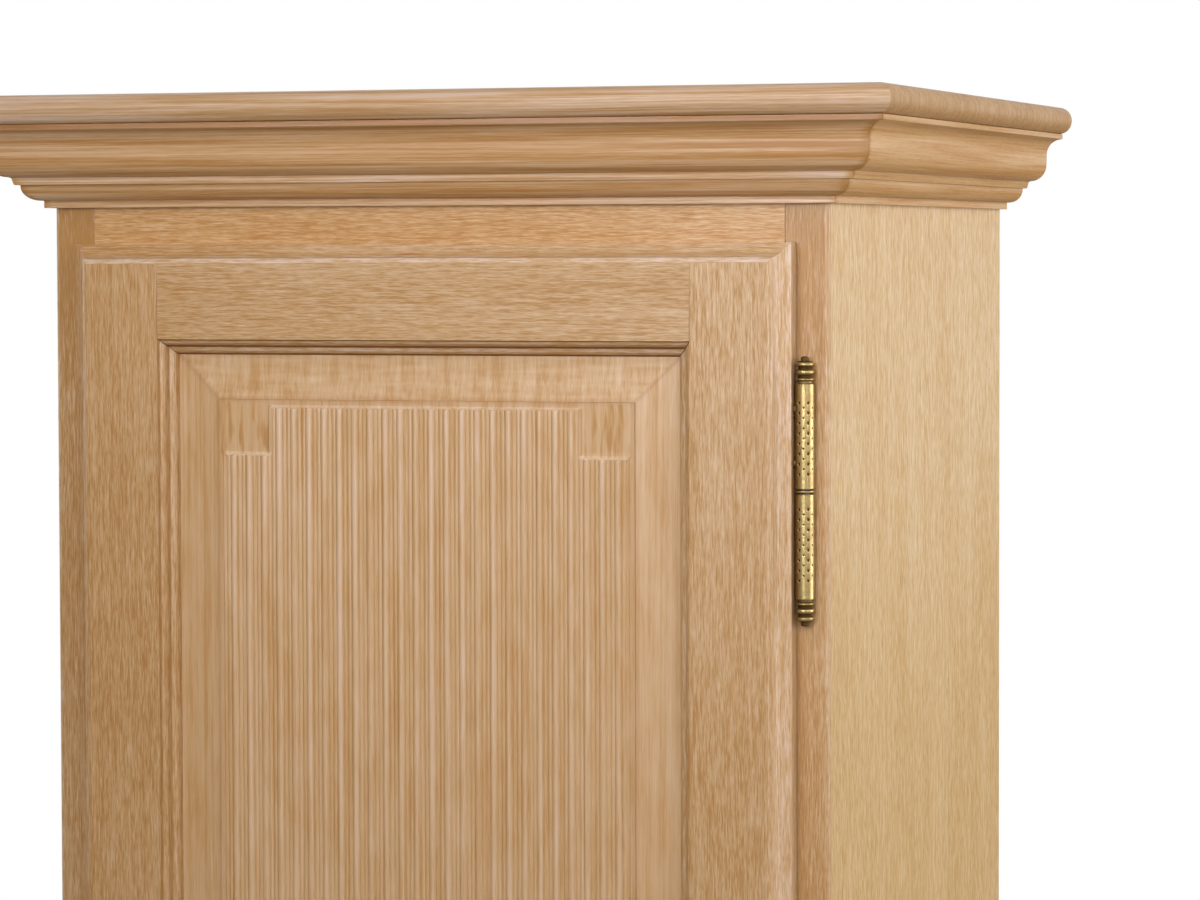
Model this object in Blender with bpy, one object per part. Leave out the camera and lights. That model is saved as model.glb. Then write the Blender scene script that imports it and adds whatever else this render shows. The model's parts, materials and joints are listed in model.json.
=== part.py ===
"""Highboard: a tall cupboard with one framed door, built from its separate pieces.

Metres, +Z up. The cupboard stands on z = 0, its front faces -Y and the door hangs on the +X side.
The origin is the middle of the bounding box at floor level. The carcass is two thick sides with
rails, boards and a rebated back, a moulded cornice and a plinth are mitred round it, and the door
is a stile-and-rail frame round a raised, reeded panel on two pin hinges, with a box lock.
"""

import math

import bmesh
import bpy
from mathutils import Vector

# Carcass
CARCASS_WIDTH = 0.500
CARCASS_DEPTH = 0.440
TOTAL_HEIGHT = 1.300
SIDE_THICKNESS = 0.027
RAIL_THICKNESS = 0.022
BOARD_THICKNESS = 0.020
BACK_THICKNESS = 0.008
REBATE_WIDTH = 0.010
SEAT_GAP = 0.0003
DRILL_OVERRUN = 0.002

# Top board and cornice
TOP_THICKNESS = 0.018
TOP_OVERHANG = 0.050
CORNICE_HEIGHT = 0.0505
CORNICE_REACH = 0.0436
MITRE_GAP = 0.0003

# Plinth
PLINTH_HEIGHT = 0.090
PLINTH_REACH = 0.016

# Shelves and their pins
SHELF_COUNT = 3
SHELF_THICKNESS = 0.020
SHELF_SETBACK = 0.030
SHELF_REAR_GAP = 0.004
SHELF_END_GAP = 0.0005
PIN_RADIUS = 0.0025
PIN_SEAT_DEPTH = 0.0095
PIN_REACH = 0.009
PIN_HOLE_STEP = 0.032
PIN_INSET = 0.050

# Door frame
DOOR_SIDE_REVEAL = 0.020
DOOR_TOP_REVEAL = 0.023
DOOR_BOTTOM_REVEAL = 0.0235
DOOR_RAIL_LAP = 0.022
DOOR_BACK_GAP = 0.0005
DOOR_THICKNESS = 0.023
DOOR_LIP = 0.0118
EDGE_MOULD_WIDTH = 0.0118
STILE_FLAT = 0.0592
RAIL_FLAT = 0.058
STICKING_WIDTH = 0.0094
STICKING_DEPTH = 0.0128
GROOVE_WIDTH = 0.006
GROOVE_DEPTH = 0.010
FRAME_JOINT_GAP = 0.0003

# Door panel
TONGUE_DEPTH = 0.009
BEVEL_WIDTH = 0.0275
BEVEL_RISE = 0.0030
FIELD_STEP = 0.0009
BAND_RISE = 0.0009
BAND_RAMP = 0.0012
BAND_MARGIN = 0.0035
BAND_TOP_MARGIN = 0.0045
CORNER_BLOCK_HEIGHT = 0.0335
SHORT_REEDS = 3
REED_PITCH = 0.0099
REED_WIDTH = 0.0046
REED_HEIGHT = 0.0012
NOTCH_REACH = 0.0064
REED_SINK = 0.0006
REED_END_MARGIN = 0.0004
REED_END_LENGTH = 0.0014

# Hinges
HINGE_LENGTH = 0.160
HINGE_INSET = 0.0665
KNUCKLE_RADIUS = 0.0056
FINIAL_LENGTH = 0.016
RING_HEIGHT = 0.0022
KNUCKLE_CHAMFER = 0.0005
HINGE_PIN_RADIUS = 0.003
HINGE_PIN_SEAT = 0.034
SPIGOT_RADIUS = 0.0025
SPIGOT_LENGTH = 0.008
STEM_RADIUS = 0.003
STEM_LENGTH = 0.026
STEM_SPACING = 0.032

# Lock, key and their plates
LOCK_SETBACK = 0.003
LOCK_WIDTH = 0.042
LOCK_BELOW = 0.022
LOCK_ABOVE = 0.026
LOCK_DEPTH = 0.0125
LOCK_WALL = 0.0015
FLANGE_THICKNESS = 0.0015
FLANGE_LAP = 0.010
BOLT_HEIGHT = 0.014
BOLT_THICKNESS = 0.0055
BOLT_RISE = 0.0058
BOLT_TRAVEL = 0.008
BOLT_BACK_CLEARANCE = 0.0035
TALON_WIDTH = 0.022
TALON_DEPTH = 0.0045
KEY_BACKSET = 0.035
SHANK_RADIUS = 0.0025
BIT_REACH = 0.009
BIT_WIDTH = 0.0024
BIT_DEPTH = 0.005
BIT_CLEARANCE = 0.0006
KEYHOLE_CLEARANCE = 0.0003
SHANK_SHOWING = 0.011
COLLAR_RADIUS = 0.0036
COLLAR_LENGTH = 0.003
BOW_LENGTH = 0.023
BOW_HEIGHT = 0.025
BOW_THICKNESS = 0.003
BOW_BAND = 0.0048
PLATE_THICKNESS = 0.0015
ESCUTCHEON_WIDTH = 0.026
ESCUTCHEON_HEIGHT = 0.066
STRIKE_WIDTH = 0.013
STRIKE_HEIGHT = 0.048
SCREW_RADIUS = 0.0015
SCREW_HEAD_RADIUS = 0.003
SCREW_HEAD_HEIGHT = 0.0012
SCREW_LENGTH = 0.010
TACK_RADIUS = 0.0008
TACK_HEAD_RADIUS = 0.0018
TACK_HEAD_HEIGHT = 0.0009
TACK_LENGTH = 0.006

# Outlines, as shares of the size each one follows
OVOLO_FOOT_SHARES = (0.110, 0.090)
OVOLO_CENTRE_SHARES = (0.142, 0.267)
OVOLO_RADIUS_SHARES = (0.220, 0.177)
STEP_SHARES = ((0.362, 0.281), (0.431, 0.281), (0.459, 0.364))
OGEE_LOW_CENTRE_SHARES = (0.486, 0.594)
OGEE_LOW_RADIUS_SHARES = (0.257, 0.218)
OGEE_HIGH_CENTRE_SHARES = (0.982, 0.733)
OGEE_HIGH_RADIUS_SHARES = (0.234, 0.202)
CORNICE_LIP_SHARE = 0.943
PLINTH_FLAT_SHARE = 0.80
PLINTH_COVE_SHARES = (0.62, 0.13)
PLINTH_TOP_SHARE = 0.30
LIP_FILLET_SHARES = (0.24, 0.05)
LIP_COVE_SHARES = (0.27, 0.12)
LIP_COVE_SPAN_SHARES = (0.46, 0.76)
LIP_LEDGE_SHARES = ((0.73, 0.93), (0.96, 0.93))
STICKING_SHARES = (
    (0.000, 0.000),
    (0.045, 0.210),
    (0.080, 0.235),
    (0.240, 0.275),
    (0.370, 0.360),
    (0.440, 0.470),
    (0.485, 0.640),
    (0.530, 0.665),
    (0.740, 0.715),
    (0.880, 0.790),
    (0.960, 0.890),
    (1.000, 1.000),
)
BEVEL_SHARES = ((0.33, 0.16), (0.60, 0.42), (0.82, 0.73), (1.0, 1.0))
FINIAL_SHARES = (
    (0.80, 0.02),
    (0.80, 0.07),
    (0.98, 0.10),
    (0.98, 0.17),
    (0.76, 0.21),
    (0.74, 0.30),
    (0.92, 0.33),
    (1.00, 0.40),
    (0.90, 0.48),
    (0.72, 0.53),
    (0.72, 0.61),
    (0.88, 0.65),
    (0.93, 0.72),
    (0.74, 0.80),
    (0.34, 0.83),
    (0.36, 0.93),
    (0.20, 1.00),
)
PLATE_SHARES = (
    (0.00, 0.50),
    (0.16, 0.43),
    (0.22, 0.36),
    (0.42, 0.33),
    (0.50, 0.24),
    (0.38, 0.16),
    (0.42, 0.06),
)
SHELF_PIN_SHARES = (-1, 0, 1)

# Facets
ARC_STEPS = 8
REED_STEPS = 5
REED_END_STEPS = 2
KNUCKLE_SIDES = 20
SMALL_SIDES = 12
BOW_SIDES = 24
SMOOTH_ANGLE = math.radians(35)

# Places worked out from the sizes
DOOR_FACE_REACH = DOOR_BACK_GAP + DOOR_THICKNESS
KEY_REACH = DOOR_FACE_REACH + SEAT_GAP + PLATE_THICKNESS + SHANK_SHOWING + BOW_LENGTH
FRONT_REACH = max(KEY_REACH, TOP_OVERHANG)
FRONT = (FRONT_REACH - CARCASS_DEPTH) / 2
REAR = FRONT + CARCASS_DEPTH
RIGHT = CARCASS_WIDTH / 2
LEFT = -RIGHT
INNER = RIGHT - SIDE_THICKNESS
CARCASS_TOP = TOTAL_HEIGHT - TOP_THICKNESS - SEAT_GAP
CORNICE_FOOT = CARCASS_TOP - CORNICE_HEIGHT
DOOR_TOP = CORNICE_FOOT - DOOR_TOP_REVEAL
DOOR_FOOT = PLINTH_HEIGHT + DOOR_BOTTOM_REVEAL
DOOR_HALF = RIGHT - DOOR_SIDE_REVEAL
DOOR_MIDDLE = (DOOR_TOP + DOOR_FOOT) / 2
CEILING = DOOR_TOP - DOOR_RAIL_LAP
FLOOR = DOOR_FOOT + DOOR_RAIL_LAP
DOOR_BACK = FRONT - DOOR_BACK_GAP
DOOR_FACE = DOOR_BACK - DOOR_THICKNESS
AXIS_X = RIGHT - SIDE_THICKNESS / 2
AXIS_Y = FRONT - KNUCKLE_RADIUS - SEAT_GAP
GROOVE_FRONT = DOOR_FACE + STICKING_DEPTH
GROOVE_BACK = GROOVE_FRONT + GROOVE_WIDTH
BACK_FACE = REAR - BACK_THICKNESS
LOCK_LEFT = -INNER + LOCK_SETBACK
KEY_X = LEFT + DOOR_SIDE_REVEAL + KEY_BACKSET


def clear_scene():
    """Remove every object the file opened with."""
    for item in list(bpy.data.objects):
        bpy.data.objects.remove(item, do_unlink=True)


def make_material(name, colour, roughness, metallic=0.0):
    """A plain Principled finish."""
    material = bpy.data.materials.new(name)
    material.use_nodes = True
    shader = material.node_tree.nodes["Principled BSDF"]
    shader.inputs["Base Color"].default_value = (*colour, 1.0)
    shader.inputs["Roughness"].default_value = roughness
    shader.inputs["Metallic"].default_value = metallic
    return material


def add_object(name, bm, material, pivot=(0, 0, 0), smooth=False):
    """Turn a finished mesh into an object whose origin is its pivot."""
    bmesh.ops.recalc_face_normals(bm, faces=bm.faces)
    bmesh.ops.translate(bm, verts=bm.verts, vec=-Vector(pivot))
    mesh = bpy.data.meshes.new(name)
    bm.to_mesh(mesh)
    bm.free()
    if smooth:
        mesh.shade_smooth()
        mesh.set_sharp_from_angle(angle=SMOOTH_ANGLE)
    if material:
        mesh.materials.append(material)
    item = bpy.data.objects.new(name, mesh)
    item.location = pivot
    bpy.context.collection.objects.link(item)
    return item


def skin_rings(bm, rings, closed=False):
    """Join rings of matching points with faces, and cap the ends unless the rings close."""
    loops = [[bm.verts.new(point) for point in ring] for ring in rings]
    pairs = list(zip(loops, loops[1:]))
    if closed:
        pairs.append((loops[-1], loops[0]))
    else:
        bm.faces.new(loops[0])
        bm.faces.new(loops[-1])
    for first, second in pairs:
        for here in range(len(first)):
            following = (here + 1) % len(first)
            bm.faces.new((first[here], first[following], second[following], second[here]))


def loft(rings):
    """A closed solid through rings of matching points."""
    bm = bmesh.new()
    skin_rings(bm, rings)
    return bm


def box(low, high):
    """A block between two corners."""
    rings = []
    for z in (low[2], high[2]):
        rings.append([(low[0], low[1], z), (high[0], low[1], z), (high[0], high[1], z), (low[0], high[1], z)])
    return loft(rings)


def prism(outline, start, end, place):
    """Push an outline from start to end; place(a, b, along) gives each point."""
    return loft([[place(a, b, along) for a, b in outline] for along in (start, end)])


def arc(centre, radii, start, end, steps=ARC_STEPS):
    """Points of an elliptical arc, angles in degrees."""
    points = []
    for step in range(steps + 1):
        angle = math.radians(start + (end - start) * step / steps)
        points.append((centre[0] + radii[0] * math.cos(angle), centre[1] + radii[1] * math.sin(angle)))
    return points


def scaled(points, width, height):
    """Share points turned into real ones."""
    return [(a * width, b * height) for a, b in points]


def turned(outline, place, sides):
    """Turn an outline of (radius, along) points; it may start and end on the axis."""
    bm = bmesh.new()
    rings = []
    for radius, along in outline:
        if radius == 0:
            rings.append([bm.verts.new(place(0, 0, along))])
            continue
        ring = []
        for side in range(sides):
            angle = math.tau * side / sides
            ring.append(bm.verts.new(place(radius * math.cos(angle), radius * math.sin(angle), along)))
        rings.append(ring)
    pairs = list(zip(rings, rings[1:]))
    if outline[0][0] > 0:
        pairs.append((rings[-1], rings[0]))
    for first, second in pairs:
        for side in range(sides):
            following = (side + 1) % sides
            corners = [first[side % len(first)], first[following % len(first)]]
            corners += [second[following % len(second)], second[side % len(second)]]
            bm.faces.new(list(dict.fromkeys(corners)))
    return bm


def rod(radius, start, end, place, sides=SMALL_SIDES):
    """A round bar along one direction."""
    return turned([(0, start), (radius, start), (radius, end), (0, end)], place, sides)


def along_x(y, z):
    """Placer for something that runs along X through (y, z)."""
    return lambda a, b, along: (along, y + a, z + b)


def along_y(x, z):
    """Placer for something that runs along Y through (x, z)."""
    return lambda a, b, along: (x + a, along, z + b)


def along_z(x, y):
    """Placer for something that runs along Z through (x, y)."""
    return lambda a, b, along: (x + a, y + b, along)


def merge(parts):
    """Several meshes in one, for a tool that cuts or joins in many places."""
    whole = bmesh.new()
    for part in parts:
        bmesh.ops.recalc_face_normals(part, faces=part.faces)
        scratch = bpy.data.meshes.new("scratch")
        part.to_mesh(scratch)
        part.free()
        whole.from_mesh(scratch)
        bpy.data.meshes.remove(scratch)
    return whole


def shape_with(item, tool_mesh, operation, name):
    """Cut, join or trim an object with a hidden tool."""
    tool = add_object(name, tool_mesh, None)
    tool.hide_render = True
    tool.display_type = "WIRE"
    tool.location = -item.location
    tool.parent = item
    modifier = item.modifiers.new(name, "BOOLEAN")
    modifier.operation = operation
    modifier.solver = "EXACT"
    modifier.object = tool


def cut(item, tool_mesh, name):
    """Take a shape out of an object."""
    shape_with(item, tool_mesh, "DIFFERENCE", name)


def join(item, tool_mesh, name):
    """Add a shape to an object."""
    shape_with(item, tool_mesh, "UNION", name)


def trim(item, tool_mesh, name):
    """Keep only what lies inside a shape."""
    shape_with(item, tool_mesh, "INTERSECT", name)


def pin_heights():
    """Resting height of each shelf's underside."""
    clear = (CEILING - FLOOR - SHELF_COUNT * SHELF_THICKNESS) / (SHELF_COUNT + 1)
    return [FLOOR + clear * (row + 1) + SHELF_THICKNESS * row for row in range(SHELF_COUNT)]


def pin_depths():
    """Places of the front and rear pins, from front to back."""
    return FRONT + SHELF_SETBACK + PIN_INSET, BACK_FACE - PIN_INSET


def hinge_feet():
    """Height of the lower end of each hinge, top hinge first."""
    return {"upper": DOOR_TOP - HINGE_INSET - HINGE_LENGTH, "lower": DOOR_FOOT + HINGE_INSET}


def knuckle_length():
    """Length of one half of a hinge, without its finial."""
    return (HINGE_LENGTH - 2 * FINIAL_LENGTH - RING_HEIGHT) / 2 - 2 * SEAT_GAP


def stem_heights(foot, upper):
    """Heights of the two stems of one hinge half."""
    middle = foot + FINIAL_LENGTH + SEAT_GAP + knuckle_length() / 2
    if upper:
        middle = foot + HINGE_LENGTH - FINIAL_LENGTH - SEAT_GAP - knuckle_length() / 2
    return middle - STEM_SPACING / 2, middle + STEM_SPACING / 2


def make_sides(material):
    """Two thick sides: rebated for the back, drilled for pins, hinge stems and the strike."""
    pin_drill = PIN_RADIUS + SEAT_GAP
    stem_drill = STEM_RADIUS + SEAT_GAP
    for name, sign in (("side_left", -1), ("side_right", 1)):
        outer = sign * RIGHT
        inner = sign * INNER
        rebate = sign * (INNER + REBATE_WIDTH)
        shoulder = BACK_FACE - SEAT_GAP
        outline = [(outer, FRONT), (inner, FRONT), (inner, shoulder), (rebate, shoulder), (rebate, REAR), (outer, REAR)]
        side = add_object(name, prism(outline, 0, CARCASS_TOP, along_z(0, 0)), material)
        drills = []
        for height in pin_heights():
            for y in pin_depths():
                for step in SHELF_PIN_SHARES:
                    z = height - PIN_RADIUS - SEAT_GAP + step * PIN_HOLE_STEP
                    ends = (inner - sign * DRILL_OVERRUN, inner + sign * (PIN_SEAT_DEPTH + SEAT_GAP))
                    drills.append(rod(pin_drill, *ends, along_x(y, z)))
        if sign > 0:
            for foot in hinge_feet().values():
                for z in stem_heights(foot, False):
                    ends = (FRONT - DRILL_OVERRUN, AXIS_Y + STEM_LENGTH + SEAT_GAP)
                    drills.append(rod(stem_drill, *ends, along_y(AXIS_X, z)))
        else:
            reach = LOCK_SETBACK + SEAT_GAP - BOLT_TRAVEL - DRILL_OVERRUN
            drills.append(box(
                (inner + reach, bolt_near() - BIT_CLEARANCE, bolt_foot() - BIT_CLEARANCE),
                (inner + DRILL_OVERRUN, bolt_far() + BIT_CLEARANCE, bolt_head() + BIT_CLEARANCE),
            ))
            for z in strike_screw_heights():
                ends = (inner - SCREW_LENGTH - SEAT_GAP, inner + DRILL_OVERRUN)
                drills.append(rod(SCREW_RADIUS + SEAT_GAP, *ends, along_x(strike_y(), z)))
        cut(side, merge(drills), name + "_drills")


def make_boards(front_wood, inner_wood, back_wood):
    """Rails, floor, ceiling and back of the carcass."""
    fit = INNER - SEAT_GAP
    behind = FRONT + RAIL_THICKNESS
    before = BACK_FACE - SEAT_GAP
    rail_height = CARCASS_TOP - CEILING
    add_object("rail_top", box((-fit, FRONT, CEILING), (fit, behind, CARCASS_TOP)), front_wood)
    add_object("rail_bottom", box((-fit, FRONT, FLOOR - rail_height), (fit, behind, FLOOR)), front_wood)
    spans = {"floor_board": (FLOOR - BOARD_THICKNESS, FLOOR), "ceiling_board": (CEILING, CEILING + BOARD_THICKNESS)}
    for name, (low, high) in spans.items():
        add_object(name, box((-fit, behind + SEAT_GAP, low), (fit, before, high)), inner_wood)
    edge = INNER + REBATE_WIDTH - SEAT_GAP
    back = box((-edge, BACK_FACE, FLOOR - BOARD_THICKNESS), (edge, REAR, CARCASS_TOP))
    add_object("back_panel", back, back_wood)


def make_top_board(material):
    """Top board with a full round nose on the front and both sides."""
    radius = TOP_THICKNESS / 2
    middle = TOTAL_HEIGHT - radius
    rings = []
    for reach, rise in arc((TOP_OVERHANG - radius, middle), (radius, radius), -90, 90, 2 * ARC_STEPS):
        rings.append([
            (LEFT - reach, REAR, rise),
            (LEFT - reach, FRONT - reach, rise),
            (RIGHT + reach, FRONT - reach, rise),
            (RIGHT + reach, REAR, rise),
        ])
    add_object("top_board", loft(rings), material, smooth=True)


def cornice_outline():
    """Section of the cornice, as (reach, rise) from its lowest inner corner."""
    foot = OVOLO_FOOT_SHARES
    shares = [(0, 0), (foot[0], 0), foot]
    shares += arc(OVOLO_CENTRE_SHARES, OVOLO_RADIUS_SHARES, -90, 0)
    shares += STEP_SHARES
    shares += arc(OGEE_LOW_CENTRE_SHARES, OGEE_LOW_RADIUS_SHARES, -90, 0)
    shares += arc(OGEE_HIGH_CENTRE_SHARES, OGEE_HIGH_RADIUS_SHARES, 180, 95)
    shares += [(1, CORNICE_LIP_SHARE), (1, 1), (0, 1)]
    return scaled(shares, CORNICE_REACH - SEAT_GAP, CORNICE_HEIGHT)


def plinth_outline():
    """Section of the plinth, as (reach, rise) from its lowest inner corner."""
    flat = PLINTH_FLAT_SHARE
    shares = [(0, 0), (1, 0), (1, flat)]
    shares += arc((1, flat + PLINTH_COVE_SHARES[1]), PLINTH_COVE_SHARES, 250, 180)
    shares += [(1 - PLINTH_COVE_SHARES[0], 1), (0, 1)]
    return scaled(shares, PLINTH_REACH - SEAT_GAP, PLINTH_HEIGHT)


def make_mitred_run(name, outline, foot, material):
    """Three lengths of moulding round the front and sides, mitred at the front corners."""
    out = [(reach + SEAT_GAP, foot + rise) for reach, rise in outline]
    half = MITRE_GAP / 2
    lengths = {
        name + "_front": lambda p, z: ((LEFT - p + half, FRONT - p, z), (RIGHT + p - half, FRONT - p, z)),
        name + "_left": lambda p, z: ((LEFT - p, FRONT - p + half, z), (LEFT - p, REAR, z)),
        name + "_right": lambda p, z: ((RIGHT + p, FRONT - p + half, z), (RIGHT + p, REAR, z)),
    }
    for piece, ends in lengths.items():
        pairs = [ends(p, z) for p, z in out]
        rings = [[pair[end] for pair in pairs] for end in (0, 1)]
        add_object(piece, loft(rings), material, smooth=True)


def make_shelves(shelf_wood, steel):
    """Loose shelves, each on four pins."""
    half = INNER - SHELF_END_GAP
    for row, height in enumerate(pin_heights(), start=1):
        low = (-half, FRONT + SHELF_SETBACK, height + SEAT_GAP)
        high = (half, BACK_FACE - SHELF_REAR_GAP, height + SHELF_THICKNESS)
        add_object(f"shelf_{row}", box(low, high), shelf_wood)
        for depth, y in zip(("front", "rear"), pin_depths()):
            for hand, sign in (("left", -1), ("right", 1)):
                ends = (sign * (INNER - PIN_REACH), sign * (INNER + PIN_SEAT_DEPTH))
                pin = rod(PIN_RADIUS, *ends, along_x(y, height - PIN_RADIUS))
                add_object(f"shelf_pin_{row}_{depth}_{hand}", pin, steel, smooth=True)


def door_ring(inset, y):
    """Rectangle round the door, its sides moved in by inset."""
    low, high = DOOR_FOOT + inset, DOOR_TOP - inset
    half = DOOR_HALF - inset
    return [(-half, y, low), (half, y, low), (half, y, high), (-half, y, high)]


def opening_ring(inset, y):
    """Rectangle round the frame's flat inner edge, its sides moved in by inset."""
    half = DOOR_HALF - STILE_FLAT - inset
    low, high = DOOR_FOOT + RAIL_FLAT + inset, DOOR_TOP - RAIL_FLAT - inset
    return [(-half, y, low), (half, y, low), (half, y, high), (-half, y, high)]


def door_blank():
    """The door as one slab with its outer edge moulded."""
    rise = DOOR_THICKNESS - DOOR_LIP
    steps = [(0, 0), LIP_FILLET_SHARES]
    centre = (LIP_COVE_SHARES[0], LIP_COVE_SHARES[1] + LIP_COVE_SPAN_SHARES[1])
    steps += arc(centre, LIP_COVE_SPAN_SHARES, -90, 0)
    steps += [*LIP_LEDGE_SHARES, (1, 1)]
    rings = [door_ring(0, DOOR_BACK)]
    for inset, height in scaled(steps, EDGE_MOULD_WIDTH, rise):
        rings.append(door_ring(inset, DOOR_BACK - DOOR_LIP - height))
    return loft(rings)


def frame_opening():
    """What the panel's place takes out of the slab: sticking, groove and sight opening."""
    rings = [opening_ring(0, DOOR_FACE - DRILL_OVERRUN)]
    for inset, depth in scaled(STICKING_SHARES, STICKING_WIDTH, STICKING_DEPTH):
        rings.append(opening_ring(inset, DOOR_FACE + depth))
    sight = STICKING_WIDTH
    rings.append(opening_ring(sight - GROOVE_DEPTH, GROOVE_FRONT))
    rings.append(opening_ring(sight - GROOVE_DEPTH, GROOVE_BACK))
    rings.append(opening_ring(sight, GROOVE_BACK))
    rings.append(opening_ring(sight, DOOR_BACK + DRILL_OVERRUN))
    return loft(rings)


def member_region(member):
    """The room one frame member may fill: butt joints on the flat, mitres on the sticking."""
    joint = FRAME_JOINT_GAP / 2
    shoulder = DOOR_HALF - STILE_FLAT
    sight = shoulder - STICKING_WIDTH - DRILL_OVERRUN
    top, foot = DOOR_TOP + DRILL_OVERRUN, DOOR_FOOT - DRILL_OVERRUN
    high, low = DOOR_TOP - RAIL_FLAT, DOOR_FOOT + RAIL_FLAT
    cut_in = STICKING_WIDTH + DRILL_OVERRUN
    if member in ("left", "right"):
        sign = 1 if member == "right" else -1
        edge = DOOR_HALF + DRILL_OVERRUN
        points = [(edge, foot), (edge, top), (shoulder + joint, top), (shoulder + joint, high - joint)]
        points += [(sight + joint, high - cut_in - joint), (sight + joint, low + cut_in + joint)]
        points += [(shoulder + joint, low + joint), (shoulder + joint, foot)]
        outline = [(sign * x, z) for x, z in points]
    else:
        flip = 1 if member == "top" else -1
        limit = top if member == "top" else foot
        line = high if member == "top" else low
        points = [(shoulder - joint, limit), (shoulder - joint, line + flip * joint)]
        points += [(sight - joint, line - flip * (cut_in - joint))]
        outline = points + [(-x, z) for x, z in reversed(points)]
    ends = (DOOR_FACE - DRILL_OVERRUN, DOOR_BACK + DRILL_OVERRUN)
    return prism(outline, *ends, lambda a, b, along: (a, along, b))


def hang_on_axis():
    """Empty on the hinge axis that carries everything on the door."""
    axis = bpy.data.objects.new("door_axis", None)
    axis.location = (AXIS_X, AXIS_Y, DOOR_MIDDLE)
    bpy.context.collection.objects.link(axis)
    return axis


def carry(axis, item):
    """Parent an object to an empty without moving it."""
    item.location = Vector(item.location) - Vector(axis.location)
    item.parent = axis


def make_door_frame(material, axis):
    """Stiles and rails cut from one moulded slab, so that their profiles meet."""
    names = {
        "left": "door_stile_lock_side",
        "right": "door_stile_hinge_side",
        "top": "door_rail_top",
        "bottom": "door_rail_bottom",
    }
    for member, name in names.items():
        item = add_object(name, door_blank(), material)
        cut(item, frame_opening(), name + "_opening")
        trim(item, member_region(member), name + "_region")
        if member == "right":
            drills = []
            for foot in hinge_feet().values():
                for z in stem_heights(foot, True):
                    ends = (DOOR_HALF + DRILL_OVERRUN, AXIS_X - STEM_LENGTH - SEAT_GAP)
                    drills.append(rod(STEM_RADIUS + SEAT_GAP, *ends, along_x(AXIS_Y, z)))
            cut(item, merge(drills), name + "_drills")
        if member == "left":
            cut(item, keyhole(DOOR_FACE, DOOR_BACK), name + "_keyhole")
            cut(item, merge(lock_side_drills()), name + "_drills")
        carry(axis, item)


def reed_rows(half_width):
    """Middles of the reeds, as many as fit across the field."""
    count = int(2 * (half_width - BAND_MARGIN) / REED_PITCH)
    return [(number - (count - 1) / 2) * REED_PITCH for number in range(count)]


def band_ring(half_width, foot, top, grow, y):
    """Outline of the reeded band: a rectangle with a square taken out of each corner."""
    side = half_width - BAND_MARGIN + grow
    notch = -reed_rows(half_width)[SHORT_REEDS] + NOTCH_REACH + grow
    low, high = foot + BAND_TOP_MARGIN - grow, top - BAND_TOP_MARGIN + grow
    short_low, short_high = foot + CORNER_BLOCK_HEIGHT - grow, top - CORNER_BLOCK_HEIGHT + grow
    right = [(notch, low), (notch, short_low), (side, short_low), (side, short_high), (notch, short_high), (notch, high)]
    left = [(-x, z) for x, z in reversed(right)]
    return [(x, y, z) for x, z in right + left]


def reed(x, low, high, field):
    """One half-round reed with rounded ends, its back sunk in the band."""
    stations = []
    for step in range(REED_END_STEPS + 1):
        turn = math.pi / 2 * step / REED_END_STEPS
        stations.append((REED_END_LENGTH * (1 - math.cos(turn)), math.sin(turn)))
    heights = [(low + along, swell) for along, swell in stations]
    heights += [(high - along, swell) for along, swell in reversed(stations)]
    half = REED_WIDTH / 2
    rings = []
    for z, swell in heights:
        ring = [(x - half, field + REED_SINK, z)]
        for a, b in arc((0, 0), (half, REED_HEIGHT * swell), 180, 0, REED_STEPS):
            ring.append((x + a, field - b, z))
        ring.append((x + half, field + REED_SINK, z))
        rings.append(ring)
    return loft(rings)


def make_door_panel(material, axis):
    """Raised panel: tongue in the grooves, hollow bevel, stepped field, band and stopped reeds."""
    front = GROOVE_FRONT + SEAT_GAP
    back = GROOVE_BACK - SEAT_GAP
    sight = STICKING_WIDTH
    tongue = sight - TONGUE_DEPTH
    rings = [opening_ring(tongue, back), opening_ring(tongue, front), opening_ring(sight, front)]
    for inset, height in scaled(BEVEL_SHARES, BEVEL_WIDTH, BEVEL_RISE):
        rings.append(opening_ring(sight + inset, front - height))
    field = front - BEVEL_RISE - FIELD_STEP
    rings.append(opening_ring(sight + BEVEL_WIDTH, field))
    panel = add_object("door_panel", loft(rings), material)
    top = DOOR_TOP - RAIL_FLAT - sight - BEVEL_WIDTH
    foot = DOOR_FOOT + RAIL_FLAT + sight + BEVEL_WIDTH
    half_width = DOOR_HALF - STILE_FLAT - sight - BEVEL_WIDTH
    face = field - BAND_RISE
    steps = ((BAND_RAMP, field + BAND_RISE), (BAND_RAMP, field), (0, face))
    band = loft([band_ring(half_width, foot, top, grow, y) for grow, y in steps])
    join(panel, band, "door_panel_band")
    reeds = []
    rows = reed_rows(half_width)
    for number, x in enumerate(rows):
        short = min(number, len(rows) - 1 - number) < SHORT_REEDS
        margin = REED_END_MARGIN + (CORNER_BLOCK_HEIGHT if short else BAND_TOP_MARGIN)
        reeds.append(reed(x, foot + margin, top - margin, face))
    join(panel, merge(reeds), "door_panel_reeds")
    carry(axis, panel)


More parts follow.
